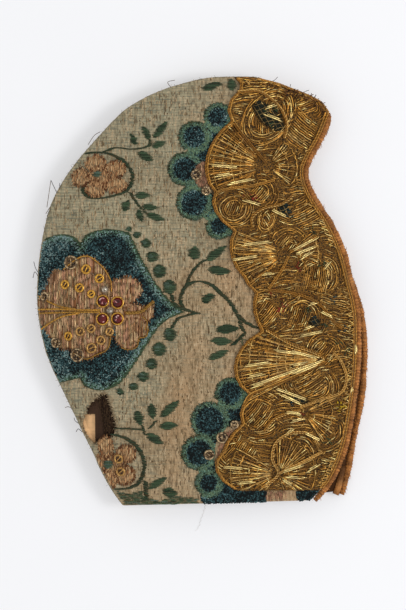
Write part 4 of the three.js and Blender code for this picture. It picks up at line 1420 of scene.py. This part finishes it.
class UpperLace:
    """Threads of the lace on the upper side, each kept clear of the places that earlier ones claim."""

    def __init__(self, radius, rng):
        self.radius, self.rng, self.edge = radius, rng, band("gold_lace_upper")
        self.openings = [oval(hub, 2 * long, 2 * wide, turn) for hub, long, wide, turn in at_places(OPENINGS)]
        self.claimed = list(self.openings)
        self.net, self.raised, self.cords, self.strips, self.ends = (Threads(name) for name in (
            "lace_net_threads", "lace_fans_and_whorls", "lace_gimp", "lace_bright_strips", "lace_silk_ends"))

    def work(self, threads, lines, lift, thick=1.0, outline=None):
        """Lays lines, with a bright strip here and there, and claims their outline."""
        rng = self.rng
        for line in lines:
            kept = self.edge.holds(line, 0.6, 0.3) & ~inside_any(self.claimed, line)
            for part in runs(line, kept):
                count = len(part)
                glints = rng.random(count) < LACE_GLINTS
                glow = np.where(glints, LACE_GLINT_GAIN, rng.uniform(0.5, 1.15, count))
                rise = lift + lace_relief(part) + rng.uniform(-0.15, 0.15)
                # Painted light: the lace's threads are painted paler towards the crown.
                glow = glow * np.interp(part[:, 1], LACE_PAINTED_LIGHT_HEIGHTS, (1.0, LACE_PAINTED_LIGHT_GAIN))
                tone = one_tone(rng, *LACE_TONES) * glow[:, None]
                threads.lay(part, rise, self.radius * thick, tone, 0.9)
                if rng.random() < LACE_STRIP_SHARE and count > 3:
                    at = rng.integers(0, count - 2)
                    self.strip(part[at:at + 3], rise[at:at + 3] + 0.3, 0.27, rng.uniform(0.5, 1.2))
        if outline is not None:
            self.claimed.append(outline)

    def strip(self, line, lift, radius, glow):
        """One bright flat strip."""
        self.strips.lay(line, lift, radius, LACE_SHINE * glow, 0.35, 0.7)

    def grounds(self):
        """Fans, whorls and hatched places, then the net between them."""
        rng = self.rng
        for hub, start, end, inner, reach, count in at_places(FANS):
            fan = fan_lines(hub, start, end, inner, reach, count, rng)
            self.work(self.raised, fan, 1.5, outline=sector(hub, reach, start, end))
        for hub, inner, outer, start, end, stretch, turn in at_places(WHORLS):
            wide = 2 * inner
            self.work(self.net, hatch_lines(hub, wide, wide * stretch, turn + 50, LACE_PITCH * 0.8, rng), 1.3)
            rounds = whorl_lines(hub, inner, outer, start, end, stretch, turn, LACE_PITCH, rng)
            self.work(self.raised, rounds, 1.35, 1.1, sector(hub, outer, start, end, stretch, turn))
        for hub, long, wide, turn in at_places(HATCHED):
            hatch = hatch_lines(hub, long, wide, turn, LACE_PITCH * 0.9, rng)
            self.work(self.net, hatch, 1.2, 1.1, block(hub, long, wide, turn))
        self.work(self.net, net_lines(self.edge, LACE_PITCH, rng), 1.0)

    def gimps(self):
        """Crossing threads along the front, gimp cords over the lace and cords along its edges."""
        points, _ = along(edge_line(self.edge, "right", 0), 0.9)
        for phase in (0, math.pi):
            swing = 2.2 + 1.7 * np.sin(np.arange(len(points)) * 1.9 + phase)
            self.work(self.cords, [points - np.stack([swing, 0 * swing], 1)], 1.5)
        for pixels in GIMPS:
            middle, ways = along(smooth_line(placed(pixels), 0.5), 0.8)
            for offset in (-0.38, 0.38):
                beside = middle + left_of(ways) * offset
                twisted(self.cords, beside, 2.1 + lace_relief(beside).mean(), 0.75, LACE_TONES, self.rng, 1.5)
        for side, inset in (("left", 0.4), ("left", 1.3), ("right", 0.7), ("right", -0.5)):
            twisted(self.cords, edge_line(self.edge, side, inset), 1.4, 0.95, LACE_TONES[:3], self.rng, 1.7)

    def bright_strips(self):
        """The long bright strips, each of two side by side."""
        for x0, y0, x1, y1 in STRIPS:
            start, end = placed((x0, y0)), placed((x1, y1))
            way = (end - start) / np.linalg.norm(end - start)
            for offset in (0.0, 0.75):
                across = left_of(way) * offset
                trim = way * self.rng.uniform(0, 2.0) * (offset > 0)
                marks = np.array([start + trim, (start + end) / 2, end - trim]) + across
                line = smooth_line(marks, 1.2)
                self.strip(line, 2.5 + lace_relief(line), 0.32, self.rng.uniform(0.5, 1.3, (len(line), 1)))

    def short_ends(self):
        """Coloured ends of silk, and short ends that break up the lace, some of gold thread and some
        near-black as painted shadow.
        """
        rng, edge = self.rng, self.edge
        for middle, dye in at_places(LACE_BITS):
            for _ in range(7):
                spot = middle + rng.normal(0, 1.3, 2)
                half = heading(rng.uniform(0, 180)) * rng.uniform(0.5, 1.3)
                tone = LACE_DYES[dye] * rng.uniform(0.6, 1.2)
                self.ends.lay(dash(spot, half, 4), [1.0, 1.6, 1.6, 1.0], 0.22, tone)
        for row in rng.integers(4, len(edge.rows) - 4, LACE_SPECKS):
            spot = np.array([rng.uniform(edge.lefts[row] + 1.5, edge.rights[row] - 1.0), edge.rows[row]])
            xy = dash(spot, heading(rng.normal(15, 35)) * rng.uniform(0.4, 1.1), 3)
            # Near-black short ends stand in for shadow: painted shadow in the lace.
            if rng.random() < LACE_SHADOWS:
                self.net.lay(xy, 1.9 + lace_relief(xy), self.radius * 0.9, screen(34, 22, 8))
            else:
                self.net.lay(xy, 2.0 + lace_relief(xy), self.radius, one_tone(rng, *LACE_TONES[1:]))

    def open_places(self):
        """Dark silk in the openings, with a few threads across."""
        for outline in self.openings:
            for start, end in scanned(outline, 0.5, 0):
                self.ends.lay(np.linspace(start, end, 4), 1.25, 0.3, screen(30, 34, 24))
            for turn in (18, -58):
                for start, end in scanned(outline, 2.3, turn):
                    line = np.linspace(start, end, 4) + self.rng.normal(0, 0.25, (4, 2))
                    self.ends.lay(line, 1.75, 0.13, screen(150, 122, 72) * self.rng.uniform(0.4, 1.2))


def gold_lace(sizes):
    """Gold lace on both sides of the front: net, fans, whorls, gimp cords and bright strips."""
    rng = drawn("lace")
    net, gold = lace_net(), metal_thread("lace_gold", 0.36, 0.6)
    ground = grid_sheet("lace_ground_upper", upper_face(), "gold_lace_upper", LACE_GROUND, LACE_GROUND_PITCH,
                        [net])
    below = grid_sheet("lace_ground_lower", lower_face(), "gold_lace_lower", LACE_GROUND, LOWER_PITCH,
                       [net])
    radius = sizes.lace_thread / MM / 2
    lace = UpperLace(radius, rng)
    for work in (lace.grounds, lace.gimps, lace.bright_strips, lace.short_ends, lace.open_places):
        work()
    for threads in (lace.net, lace.raised, lace.cords):
        threads.build(gold, "gold_lace")
    lace.strips.build(metal_thread("bright_strip", 0.2, 0.6, 0.1), "gold_lace")
    lace.ends.build(dyed_thread("silk_ends", 0.6), "gold_lace")
    lower_lace(gold, radius, rng)


def lower_lace(gold, radius, rng):
    """Plainer threads of the lace on the side that lies on the table."""
    edge, face = band("gold_lace_lower"), lower_face()
    threads = Threads("lace_threads_lower")
    for line in net_lines(edge, LACE_STEP, rng):
        for part in runs(line, edge.holds(line, 0.6, 0.4)):
            threads.lay(part, 0.9, radius, one_tone(rng, *LACE_TONES), face=face)
    for side in ("left", "right"):
        points, _ = along(edge_line(edge, side, 0.9), 1.2)
        threads.lay(points, 0.95, 0.5, LACE_TONES[1], face=face)
    threads.build(gold, "gold_lace")


# Binding, seam and loose ends

BINDING_TRIM = 2.8  # how much shorter the silk ends than its CAD node at the forehead
BINDING_FOOT = {"upper": 2.0, "lower": 0.1}  # how much shorter it ends at the hem
TIP_TURN, TIP_REACH = 2.2, 6.0  # how far the forehead end turns in, and over what height
FOOT_TURN = {"upper": 0.0, "lower": 1.7}  # how far the foot turns in, over the same height
FOOT_TOP, FOOT_BOTTOM = -88.0, -98.0  # heights between which the lower binding broadens into its foot
BINDING_SET = {"upper": -0.35, "lower": 0.0}  # how far the silk stands out from its CAD node
TURNING_TOP = -18.0  # the lower binding's turning shows below this height
BINDING_RADIUS = 1.5
BINDING_STEP = 0.42
BINDING_FIBRES, TIP_FIBRES = 900, 260  # fibres along a binding, and more of them near its forehead end
TIP_FRAYED = 70  # steps of the frayed forehead end
FOREHEAD = 89.5  # the seam comes down the front to this height
WHIP_STITCH = [(1.7, 1.95), (0.6, 1.9), (-0.2, 0.9), (-0.25, -0.9), (0.6, -1.9)]  # depths and rises
BARE_SEAM = 0.55  # share of the seam without a loose end
WORN_CROWN = (40.5, 86.0)  # the seam is worn to fibres right of this x and above this y


def binding_route(side):
    """Middle line of one binding from hem to forehead, its ends turned in."""
    node = f"front_binding_{side}"
    low, high = (corner.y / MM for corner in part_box(node))
    rows = np.linspace(low + BINDING_FOOT[side], high - BINDING_TRIM, 90)
    left, right, bottom, top = sections(node, rows)
    middle = np.stack([(left + right) / 2 + BINDING_SET[side], rows, (bottom + top) / 2], 1)
    for _ in range(3):
        middle[1:-1] = (middle[:-2] + 2 * middle[1:-1] + middle[2:]) / 4
    for turn, gap in ((TIP_TURN, rows[-1] - rows), (FOOT_TURN[side], rows - rows[0])):
        middle[:, 0] -= turn * np.clip(1 - gap / TIP_REACH, 0, 1) ** 2
    return along(middle, BINDING_STEP)[0]


def add_turning(roll, points, tone):
    """Adds the flat turning that shows inside the lower binding, broader and paler at the foot."""
    turning = points[points[:, 1] < TURNING_TOP]
    deep = np.interp(turning[:, 1], (turning[0, 1], TURNING_TOP), (3.0, 1.9))
    turning = turning - np.stack([deep, 0 * deep, 0 * deep + 0.3], 1)
    on_panel = lower_face().height(turning[:, :2]) + WALL + 0.2
    turning[:, 2] = np.where(turning[:, 1] < FOOT_TOP, np.maximum(turning[:, 2], on_panel), turning[:, 2])
    shade = np.interp(turning[:, 1:2], (FOOT_BOTTOM, FOOT_TOP), (0.95, 0.22))
    roll.add(turning, UP, deep * 0.55, tone[:len(turning)] * shade, 0.6)


def binding_fuzz(side, points, silk, fibre, rng):
    """Worn fibres of one binding, more of them at the forehead."""
    fuzz = Threads(f"binding_fuzz_{side}")
    count = len(points)
    frayed = np.concatenate([rng.integers(0, count, BINDING_FIBRES),
                             count - 1 - rng.integers(0, TIP_FRAYED, TIP_FIBRES)])
    for point in points[frayed]:
        out = heading(rng.uniform(-15, 195))
        start = point + np.array([out[0] * 1.3, 0, abs(out[1]) * 1.35])
        reach = np.array([out[0] * 0.5, rng.normal(0, 1.0), rng.uniform(0, 0.3)]) * rng.uniform(0.4, 1.1)
        fuzz.add(np.linspace(start, start + reach, 3), UP, [0.14, 0.12, 0.05], silk * rng.uniform(0.35, 1.6))
    fuzz.build(fibre, "silk_binding")


def front_binding(colours):
    """Rolled silk binding of both front edges, ribbed across, uneven and worn to fibres."""
    rng = drawn("binding")
    silk = np.array(colours.binding)
    finish, fibre = rolled_silk(), dyed_thread("binding_fibre", 0.7)
    for side in ("upper", "lower"):
        points = binding_route(side)
        count = len(points)
        steps = np.arange(count)
        swell = np.interp(steps, np.linspace(0, count, 70), rng.normal(0.95, 0.11, 70))
        rib = 0.07 * np.sin(steps * 1.7) + rng.normal(0, 0.045, count)
        radius = BINDING_RADIUS * swell * (1 + rib) * np.interp(count - steps, (0, 7), (0.5, 1.0))
        tone = silk * np.interp(steps, np.linspace(0, count, 90), rng.uniform(0.55, 1.3, 90))[:, None]
        roll = Threads(f"binding_{side}", 12)
        # The silk is painted lighter where each rib bulges and darker between: painted light and shade on the
        # ribs.
        roll.add(points, UP, radius, tone * (1 + 3.0 * rib)[:, None])
        if side == "lower":
            add_turning(roll, points, tone)
        made = roll.build(finish, "silk_binding")
        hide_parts(f"front_binding_{side}")
        binding_fuzz(side, points, silk, fibre, rng)


def seam_line():
    """The seam's route: up the back, over the crown and down to the forehead point."""
    edge = band("side_panel_upper")
    back = np.stack([edge.lefts, edge.rows], 1)
    front = np.stack([edge.rights, edge.rows], 1)[edge.rows > FOREHEAD][::-1]
    return smooth_line(np.vstack([back[::8], front[::2]]), 0.8)


def seam_roll(line, rng):
    """Turned-in edges of the two panels."""
    roll = Threads("seam_turned_edge", 8)
    points, ways = along(line, 0.6)
    height = SEAM_HEIGHT + 0.15 * np.sin(np.arange(len(points)) * 0.9)
    tone = blended(rng, len(points), screen(120, 104, 78), screen(168, 148, 116), screen(98, 92, 70))
    roll.add(np.column_stack([points - left_of(ways) * 0.9, height]), UP,
             1.15 + 0.12 * rng.random(len(points)), tone)
    roll.build(dyed_thread("seam_silk", 0.7), "brocade")


def seam_stitches(line, rng):
    """Whip stitches over the turned-in edges."""
    stitches = Threads("seam_stitches")
    for spot, way in zip(*along(line, 1.9)):
        out = left_of(way)
        slant = way * rng.normal(0.35, 0.2)
        points = [np.append(spot - out * depth + slant * (k / 4), SEAM_HEIGHT + rise)
                  for k, (depth, rise) in enumerate(WHIP_STITCH)]
        tone = one_tone(rng, screen(70, 58, 42), screen(150, 130, 98), screen(206, 190, 160))
        stitches.add(points, (*out, 0.4), 0.16, tone)
    stitches.build(dyed_thread("seam_thread", 0.6), "brocade")


def loose_ends(line, rng):
    """Loose ends of thread along the seam, worn fibres at the forehead and the thread below the hem."""
    loose = Threads("loose_ends")
    for pixels, start, end in LOOSE_ENDS:
        xy = smooth_line(placed(pixels), 0.9)
        z = np.linspace(start, end, len(xy)) + 0.3 * np.sin(np.linspace(0, 3, len(xy)))
        tone = one_tone(rng, screen(30, 32, 42), screen(70, 56, 42), screen(120, 96, 66))
        loose.add(np.column_stack([xy, z]), UP, 0.14, tone)
    for spot, way in zip(*along(line, 2.3)):
        if rng.random() < BARE_SEAM:
            continue
        reach = left_of(way) * rng.uniform(0.5, 1.5) + way * rng.normal(0, 0.8)
        xy = spot + np.array([-0.4, 0.4, 1.0])[:, None] * reach
        z = SEAM_HEIGHT + rng.uniform(-0.6, 1.6) + np.array([0, 0.2, 0.1])
        tone = one_tone(rng, screen(70, 60, 46), screen(190, 168, 132))
        loose.add(np.column_stack([xy, z]), UP, 0.06, tone)
    worn = line[(line[:, 0] > WORN_CROWN[0]) & (line[:, 1] > WORN_CROWN[1])]
    for spot, way in zip(*along(worn, 0.17)):
        start = spot - left_of(way) * rng.uniform(-0.4, 3.2)
        end = start + heading(rng.normal(-30, 60)) * rng.uniform(0.5, 1.6)
        xy = np.linspace(start, end, 3)
        z = upper_face().height(xy) + rng.uniform(1.2, 2.6)
        tone = one_tone(rng, screen(48, 30, 18), screen(104, 66, 36), screen(150, 104, 58))
        loose.add(np.column_stack([xy, z]), UP, 0.17, tone)
    hem = smooth_line(placed(HEM_THREAD), 0.7)
    steps = np.arange(len(hem))
    hem[:, 0] += 0.35 * np.sin(steps * 1.9)
    loose.add(np.column_stack([hem, np.maximum(0.2, 3.0 - 0.7 * steps)]), UP, 0.09, screen(238, 236, 232))
    loose.build(dyed_thread("loose_thread", 0.7), "brocade")


def seam_and_loose_ends():
    """Turned-in edges, whip stitches over them, and the loose ends of thread along the seam."""
    rng = drawn("seam")
    line = seam_line()
    for work in (seam_roll, seam_stitches, loose_ends):
        work(line, rng)


# Rings, stones and beads

def deselected():
    """Leaves edit mode with nothing selected."""
    if bpy.context.object and bpy.context.object.mode == "EDIT":
        bpy.ops.object.mode_set(mode="OBJECT")
    bpy.ops.object.select_all(action="DESELECT")


def picked(choose):
    """Selects the edited mesh's vertices that choose accepts."""
    shape = bmesh.from_edit_mesh(bpy.context.object.data)
    for vertex in shape.verts:
        vertex.select = choose(vertex.co)
    shape.select_flush_mode()
    bmesh.update_edit_mesh(bpy.context.object.data)


def wound_ring(across, wire, turns, sides, groove):
    """A ring of wound wire of a given outer width, lying at the origin, its grooves pressed in."""
    deselected()
    bpy.ops.mesh.primitive_torus_add(major_radius=(across - wire) / 2 * MM, minor_radius=wire / 2 * MM,
                                     major_segments=turns * 2, minor_segments=sides)
    bpy.ops.object.mode_set(mode="EDIT")
    spacing = math.pi / turns

    def in_groove(place):
        return round(math.atan2(place.y, place.x) / spacing) % 2 == 1

    bpy.ops.mesh.select_all(action="DESELECT")
    picked(in_groove)
    bpy.ops.transform.shrink_fatten(value=-groove * MM)
    return bpy.context.object


def add_bar(length, radius, turn):
    """Adds a bar of thread across the ring that is being edited."""
    bpy.ops.mesh.select_all(action="DESELECT")
    bpy.ops.mesh.primitive_cylinder_add(vertices=6, radius=radius * MM, depth=length * MM,
                                        rotation=(0, math.pi / 2, turn))
    bpy.ops.mesh.subdivide(number_cuts=1)


def add_cup(across, depth):
    """Adds a shallow cup of foil below the ring that is being edited, in the second finish."""
    bpy.ops.mesh.select_all(action="DESELECT")
    bpy.ops.mesh.primitive_circle_add(vertices=16, radius=across / 2 * MM, fill_type="NGON",
                                      location=(0, 0, -0.1 * MM))
    bpy.ops.mesh.inset(thickness=across * 0.2 * MM, depth=-depth * MM)
    bpy.ops.mesh.select_linked()
    bpy.context.object.active_material_index = 1
    bpy.ops.object.material_slot_assign()


def shaded(smooth):
    """Leaves edit mode with the model smooth or faceted."""
    bpy.ops.object.mode_set(mode="OBJECT")
    if smooth:
        bpy.ops.object.shade_smooth()
    else:
        bpy.ops.object.shade_flat()


def seat(model, node, name, spin, lift):
    """Puts a copy of a model, with its own mesh, in the place of a CAD node on the upper side."""
    low, high = (np.array(corner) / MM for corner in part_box(node))
    spot, way = upper_face().lay((low + high)[None, :2] / 2, lift)
    made = model.copy()
    made.data = model.data.copy()
    made.name = name
    bpy.context.scene.collection.objects.link(made)
    turn = Vector(UP).rotation_difference(Vector(way[0])).to_matrix().to_4x4()
    made.data.transform(Matrix.Translation(Vector(spot[0]) * MM) @ turn @ Matrix.Rotation(spin, 4, "Z"))
    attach(made, "root")
    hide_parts(node)


def width_of(node):
    """Width of a CAD node along x, in millimetres."""
    low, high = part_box(node)
    return (high.x - low.x) / MM


def each_node(kind):
    """The CAD nodes of one kind, in order."""
    return sorted((n for n in NODES if n.startswith(kind)), key=lambda n: int(n.rsplit("_", 1)[1]))


WORN_RINGS_BELOW = -60.0  # rings of the small flower
WORN_RINGS_RIGHT, WORN_RINGS_ROW = -64.0, -15.0  # the lower row of the great flower
RING_LIFT = 1.4
GILT = ((216, 164, 66), (140, 92, 30))  # bright and dull
WORN_GILT = ((190, 146, 82), (112, 78, 40))
STONE_RADIUS, STONE_FLATNESS = 2.45, 0.62
STONE_TABLE = 1.2  # the stone is cut flat above this height
STONE_GLINTS = 0.14  # share of the facets on top that glint
COLLET_ACROSS = 6.6


def wire_rings():
    """Gold wire rings, each of its own width over a tarnished foil cup darkened with painted shade, and held
    by a bar of thread.
    """
    rng = drawn("wire rings")
    gold, foil, worn = ring_gold("ring_gold", *GILT), foil_tarnish_and_painted_shade(), ring_gold("worn_ring_gold", *WORN_GILT)
    for node in each_node("gold_ring"):
        across = width_of(node)
        ring = wound_ring(across, wire=1.25, turns=18, sides=8, groove=0.12)
        x, y = (sum(corner[k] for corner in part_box(node)) / 2 / MM for k in (0, 1))
        is_worn = y < WORN_RINGS_BELOW or (x > WORN_RINGS_RIGHT and y < WORN_RINGS_ROW)
        for finish in (worn if is_worn else gold, foil):
            ring.data.materials.append(finish)
        add_bar(across - 1.0, 0.34, 0.0)
        # The cup's dark finish is tarnish and painted shade inside the ring.
        add_cup(across - 0.9, 0.25)
        shaded(smooth=True)
        seat(ring, node, node.replace("gold", "wire"), rng.uniform(0.2, 1.2), RING_LIFT)
        bpy.data.objects.remove(ring)


def glass_rings():
    """Cut clear rings, each of its own width with a foil cup in the middle."""
    rng = drawn("glass rings")
    glass = clear_glass("ring_glass", screen(196, 168, 128), screen(70, 52, 34))
    foil = clear_glass("ring_foil", screen(104, 78, 50), screen(30, 20, 12))
    for node in each_node("glass_ring"):
        across = width_of(node)
        ring = wound_ring(across, wire=1.3, turns=9, sides=6, groove=0.12)
        for finish in (glass, foil):
            ring.data.materials.append(finish)
        add_bar(across * 0.5, 0.35, 0.7)
        add_bar(across * 0.4, 0.3, 2.0)
        add_cup(across - 1.2, 0.3)
        shaded(smooth=False)
        seat(ring, node, node.replace("glass", "cut_glass"), rng.uniform(0, 3), RING_LIFT)
        bpy.data.objects.remove(ring)


def ball(radius, segments, rings):
    """A round stone or bead at the origin, in edit mode with nothing selected."""
    deselected()
    bpy.ops.mesh.primitive_uv_sphere_add(segments=segments, ring_count=rings, radius=radius * MM)
    bpy.ops.object.mode_set(mode="EDIT")
    bpy.ops.mesh.select_all(action="DESELECT")
    return bpy.context.object


def facet_place(facet):
    """Where a facet is, because a ball's facets are not listed in the same order at each run."""
    return [round(part / MM, 2) for part in facet.center]


def stone_red(tone):
    """Cloudy red paste."""
    made = Finish("red_stone", Roughness=0.1, Specular_IOR_Level=0.35)
    clouds = made.noise(0.5)
    shade = made.mixed(made.stepped(clouds, 0.4, 0.66), tone, [part * 0.3 for part in tone])
    return made.feed(Base_Color=shade, Normal=made.bump(clouds, 0.15))


def cut_stone(*finishes):
    """A flat stone with a cut top."""
    stone = ball(STONE_RADIUS, 10, 7)
    bpy.ops.mesh.select_all(action="SELECT")
    bpy.ops.transform.resize(value=(1, 1, STONE_FLATNESS))
    bpy.ops.mesh.select_all(action="DESELECT")
    picked(lambda place: place.z > STONE_TABLE * MM)
    bpy.ops.transform.resize(value=(1.25, 1.25, 0.55))
    shaded(smooth=False)
    for finish in finishes:
        stone.data.materials.append(finish)
    return stone


def red_stones(colours):
    """Red stones with cut tops in wound gold collets, and the clear beads between them."""
    rng = drawn("stones")
    glint = clear_glass("stone_glint", screen(228, 186, 176), screen(176, 92, 92))
    stone = cut_stone(stone_red(colours.stone), glint)
    facets = sorted(stone.data.polygons, key=facet_place)
    tops = [facet.index for facet in facets if facet.normal.z > 0.2]
    for node in each_node("red_stone"):
        for top in tops:
            stone.data.polygons[top].material_index = int(rng.random() < STONE_GLINTS)
        seat(stone, node, node.replace("red_stone", "cut_stone"), rng.uniform(0, 1), 1.35)
    collet = wound_ring(COLLET_ACROSS, wire=1.1, turns=18, sides=8, groove=0.16)
    shaded(smooth=True)
    collet.data.materials.append(ring_gold("collet_gold", *GILT))
    for node in each_node("stone_collet"):
        seat(collet, node, node.replace("stone", "wound"), rng.uniform(0, 1), 0.9)
    beads = each_node("clear_bead")
    bead = ball(width_of(beads[0]) / 2, 12, 8)
    picked(lambda place: place.z > 0.6 * MM)
    bpy.ops.transform.resize(value=(0.8, 0.8, 0.8))
    shaded(smooth=True)
    bead.data.materials.append(clear_glass("bead_glass", screen(206, 196, 178), screen(112, 98, 80)))
    for node in beads:
        seat(bead, node, node.replace("clear", "glass"), 0.0, 1.0)
    for model in (stone, collet, bead):
        bpy.data.objects.remove(model)


# Stage

CAMERA_HEIGHT = 1.5
SENSOR = 36.0
LAMP_PLACE = (0.85, -0.05, 1.0)
LAMP_ACROSS = 0.4
LAMP_POWER = 5.0
SKY = 0.82


def stage(colours):
    """Pale table, one large soft lamp from the right, bright surroundings and the camera overhead."""
    deselected()
    bpy.ops.mesh.primitive_grid_add(x_subdivisions=8, y_subdivisions=8, size=4.0)
    table = bpy.context.object
    table.name = "bonnet_floor"
    table.data.materials.append(pale_table(colours.table))
    bpy.ops.object.light_add(type="AREA", location=LAMP_PLACE)
    lamp = bpy.context.object
    lamp.data.energy, lamp.data.size = LAMP_POWER, LAMP_ACROSS
    lamp.rotation_euler = (-Vector(LAMP_PLACE)).to_track_quat("-Z", "Y").to_euler()
    scene = bpy.context.scene
    scene.world = bpy.data.worlds.new("bonnet_surroundings")
    scene.world.use_nodes = True
    sky = scene.world.node_tree.nodes["Background"].inputs
    sky["Color"].default_value = (0.98, 0.99, 1.0, 1.0)
    sky["Strength"].default_value = SKY
    middle = placed(np.array(PHOTO_PIXELS) / 2) * MM
    bpy.ops.object.camera_add(location=(*middle, CAMERA_HEIGHT))
    camera = bpy.context.object
    camera.data.sensor_width = SENSOR
    camera.data.lens = SENSOR * CAMERA_HEIGHT / (max(PHOTO_PIXELS) * MM_PER_PIXEL * MM)
    scene.camera = camera
    scene.view_settings.view_transform = "Standard"
    deselected()


# Add-on

def colour(name, description, *tone):
    """A colour that a user may change, given as a screen colour."""
    return FloatVectorProperty(name=name, description=description, subtype="COLOR", size=3, min=0, max=2,
                               default=tuple(screen(*tone)))


def length(name, description, size):
    """A length that a user may change, given in millimetres."""
    return FloatProperty(name=name, description=description, unit="LENGTH", precision=5, min=0.0001, max=0.01,
                         default=size * MM)


class BonnetColours(PropertyGroup):
    """Colours of the bonnet's silks, stones and table."""

    silk: colour("Silk ground", "Tint over the pale silk of the side panels", 255, 255, 255)
    leaf: colour("Leaf green", "Floats of the leaves, stems and outlines", 56, 73, 50)
    pile: colour("Pile blue", "Cut pile of the flowers", 43, 70, 72)
    petal: colour("Petal tan", "Upright threads of the petals", 178, 137, 95)
    binding: colour("Binding silk", "Rolled binding of the front edges", 174, 113, 56)
    stone: colour("Stone red", "Cut stones of the great flower", 92, 7, 8)
    table: colour("Table", "Paper that the bonnet lies on", 247, 247, 249)


class BonnetSizes(PropertyGroup):
    """Sizes of the bonnet's threads."""

    float_pitch: length("Float pitch", "Spacing of the level floats in leaves and stems", 0.5)
    petal_pitch: length("Petal pitch", "Spacing of the upright threads in petals", 0.64)
    pile_pitch: length("Pile pitch", "Spacing of the pile's tufts", 0.5)
    pile_height: length("Pile height", "Height of the pile's tufts", 0.9)
    lace_thread: length("Lace thread", "Thickness of the lace's metal thread", 0.5)


class BONNET_OT_side_panels(Operator):
    """Make both silk side panels with their lining"""

    bl_idname = "bonnet.side_panels"
    bl_label = "Side panels"

    def execute(self, context):
        side_panels(context.scene.bonnet_colours)
        silk_slubs()
        return {"FINISHED"}


class BONNET_OT_worn_place(Operator):
    """Make the tear near the nape with the layers that show in it"""

    bl_idname = "bonnet.worn_place"
    bl_label = "Worn place"

    def execute(self, context):
        worn_place()
        return {"FINISHED"}


class BONNET_OT_leaf_stitching(Operator):
    """Make the green leaves, berries, stems and outlines"""

    bl_idname = "bonnet.leaf_stitching"
    bl_label = "Leaves and stems"

    def execute(self, context):
        leaf_stitching(context.scene.bonnet_colours, context.scene.bonnet_sizes)
        return {"FINISHED"}


class BONNET_OT_pile_flowers(Operator):
    """Make the cut pile of the blue flowers"""

    bl_idname = "bonnet.pile_flowers"
    bl_label = "Pile flowers"

    def execute(self, context):
        pile_flowers(context.scene.bonnet_colours, context.scene.bonnet_sizes)
        return {"FINISHED"}


class BONNET_OT_tan_petals(Operator):
    """Make the tan petals of upright threads"""

    bl_idname = "bonnet.tan_petals"
    bl_label = "Tan petals"

    def execute(self, context):
        tan_petals(context.scene.bonnet_colours, context.scene.bonnet_sizes)
        return {"FINISHED"}


class BONNET_OT_couched_cords(Operator):
    """Make the gold cords couched on the great flower"""

    bl_idname = "bonnet.couched_cords"
    bl_label = "Couched cords"

    def execute(self, context):
        couched_cords()
        return {"FINISHED"}


class BONNET_OT_gold_lace(Operator):
    """Make the gold lace along both front edges"""

    bl_idname = "bonnet.gold_lace"
    bl_label = "Gold lace"

    def execute(self, context):
        gold_lace(context.scene.bonnet_sizes)
        return {"FINISHED"}


class BONNET_OT_front_binding(Operator):
    """Make the rolled silk binding of both front edges"""

    bl_idname = "bonnet.front_binding"
    bl_label = "Front binding"

    def execute(self, context):
        front_binding(context.scene.bonnet_colours)
        return {"FINISHED"}


class BONNET_OT_seam(Operator):
    """Make the seam's turned edge, its stitches and the loose ends"""

    bl_idname = "bonnet.seam"
    bl_label = "Seam and loose ends"

    def execute(self, context):
        seam_and_loose_ends()
        return {"FINISHED"}


class BONNET_OT_rings(Operator):
    """Make the gold wire rings and the cut glass rings"""

    bl_idname = "bonnet.rings"
    bl_label = "Rings"

    def execute(self, context):
        wire_rings()
        glass_rings()
        return {"FINISHED"}


class BONNET_OT_stones(Operator):
    """Make the red stones, their collets and the clear beads"""

    bl_idname = "bonnet.stones"
    bl_label = "Stones and beads"

    def execute(self, context):
        red_stones(context.scene.bonnet_colours)
        return {"FINISHED"}


class BONNET_OT_stage(Operator):
    """Make the table, the lamp, the surroundings and the camera"""

    bl_idname = "bonnet.stage"
    bl_label = "Stage"

    def execute(self, context):
        stage(context.scene.bonnet_colours)
        return {"FINISHED"}


OPERATORS = (
    BONNET_OT_stage, BONNET_OT_side_panels, BONNET_OT_worn_place, BONNET_OT_leaf_stitching,
    BONNET_OT_pile_flowers, BONNET_OT_tan_petals, BONNET_OT_couched_cords, BONNET_OT_gold_lace,
    BONNET_OT_front_binding, BONNET_OT_seam, BONNET_OT_rings, BONNET_OT_stones,
)


class BONNET_PT_sidebar(Panel):
    """The bonnet's colours, sizes and pieces"""

    bl_idname = "BONNET_PT_sidebar"
    bl_label = "Embroidered bonnet"
    bl_space_type = "VIEW_3D"
    bl_region_type = "UI"
    bl_category = "Bonnet"

    def draw(self, context):
        for group in (context.scene.bonnet_colours, context.scene.bonnet_sizes):
            for name in group.__annotations__:
                self.layout.prop(group, name)
        for operator in OPERATORS:
            self.layout.operator(operator.bl_idname)


CLASSES = (BonnetColours, BonnetSizes, *OPERATORS, BONNET_PT_sidebar)


def register():
    for cls in CLASSES:
        bpy.utils.register_class(cls)
    Scene.bonnet_colours = PointerProperty(type=BonnetColours)
    Scene.bonnet_sizes = PointerProperty(type=BonnetSizes)


def unregister():
    del Scene.bonnet_sizes
    del Scene.bonnet_colours
    for cls in reversed(CLASSES):
        bpy.utils.unregister_class(cls)


def main():
    """Makes every piece in order."""
    register()
    bpy.ops.bonnet.stage()
    bpy.ops.bonnet.side_panels()
    bpy.ops.bonnet.worn_place()
    bpy.ops.bonnet.leaf_stitching()
    bpy.ops.bonnet.pile_flowers()
    bpy.ops.bonnet.tan_petals()
    bpy.ops.bonnet.couched_cords()
    bpy.ops.bonnet.gold_lace()
    bpy.ops.bonnet.front_binding()
    bpy.ops.bonnet.seam()
    bpy.ops.bonnet.rings()
    bpy.ops.bonnet.stones()


if __name__ == "__main__":
    main()
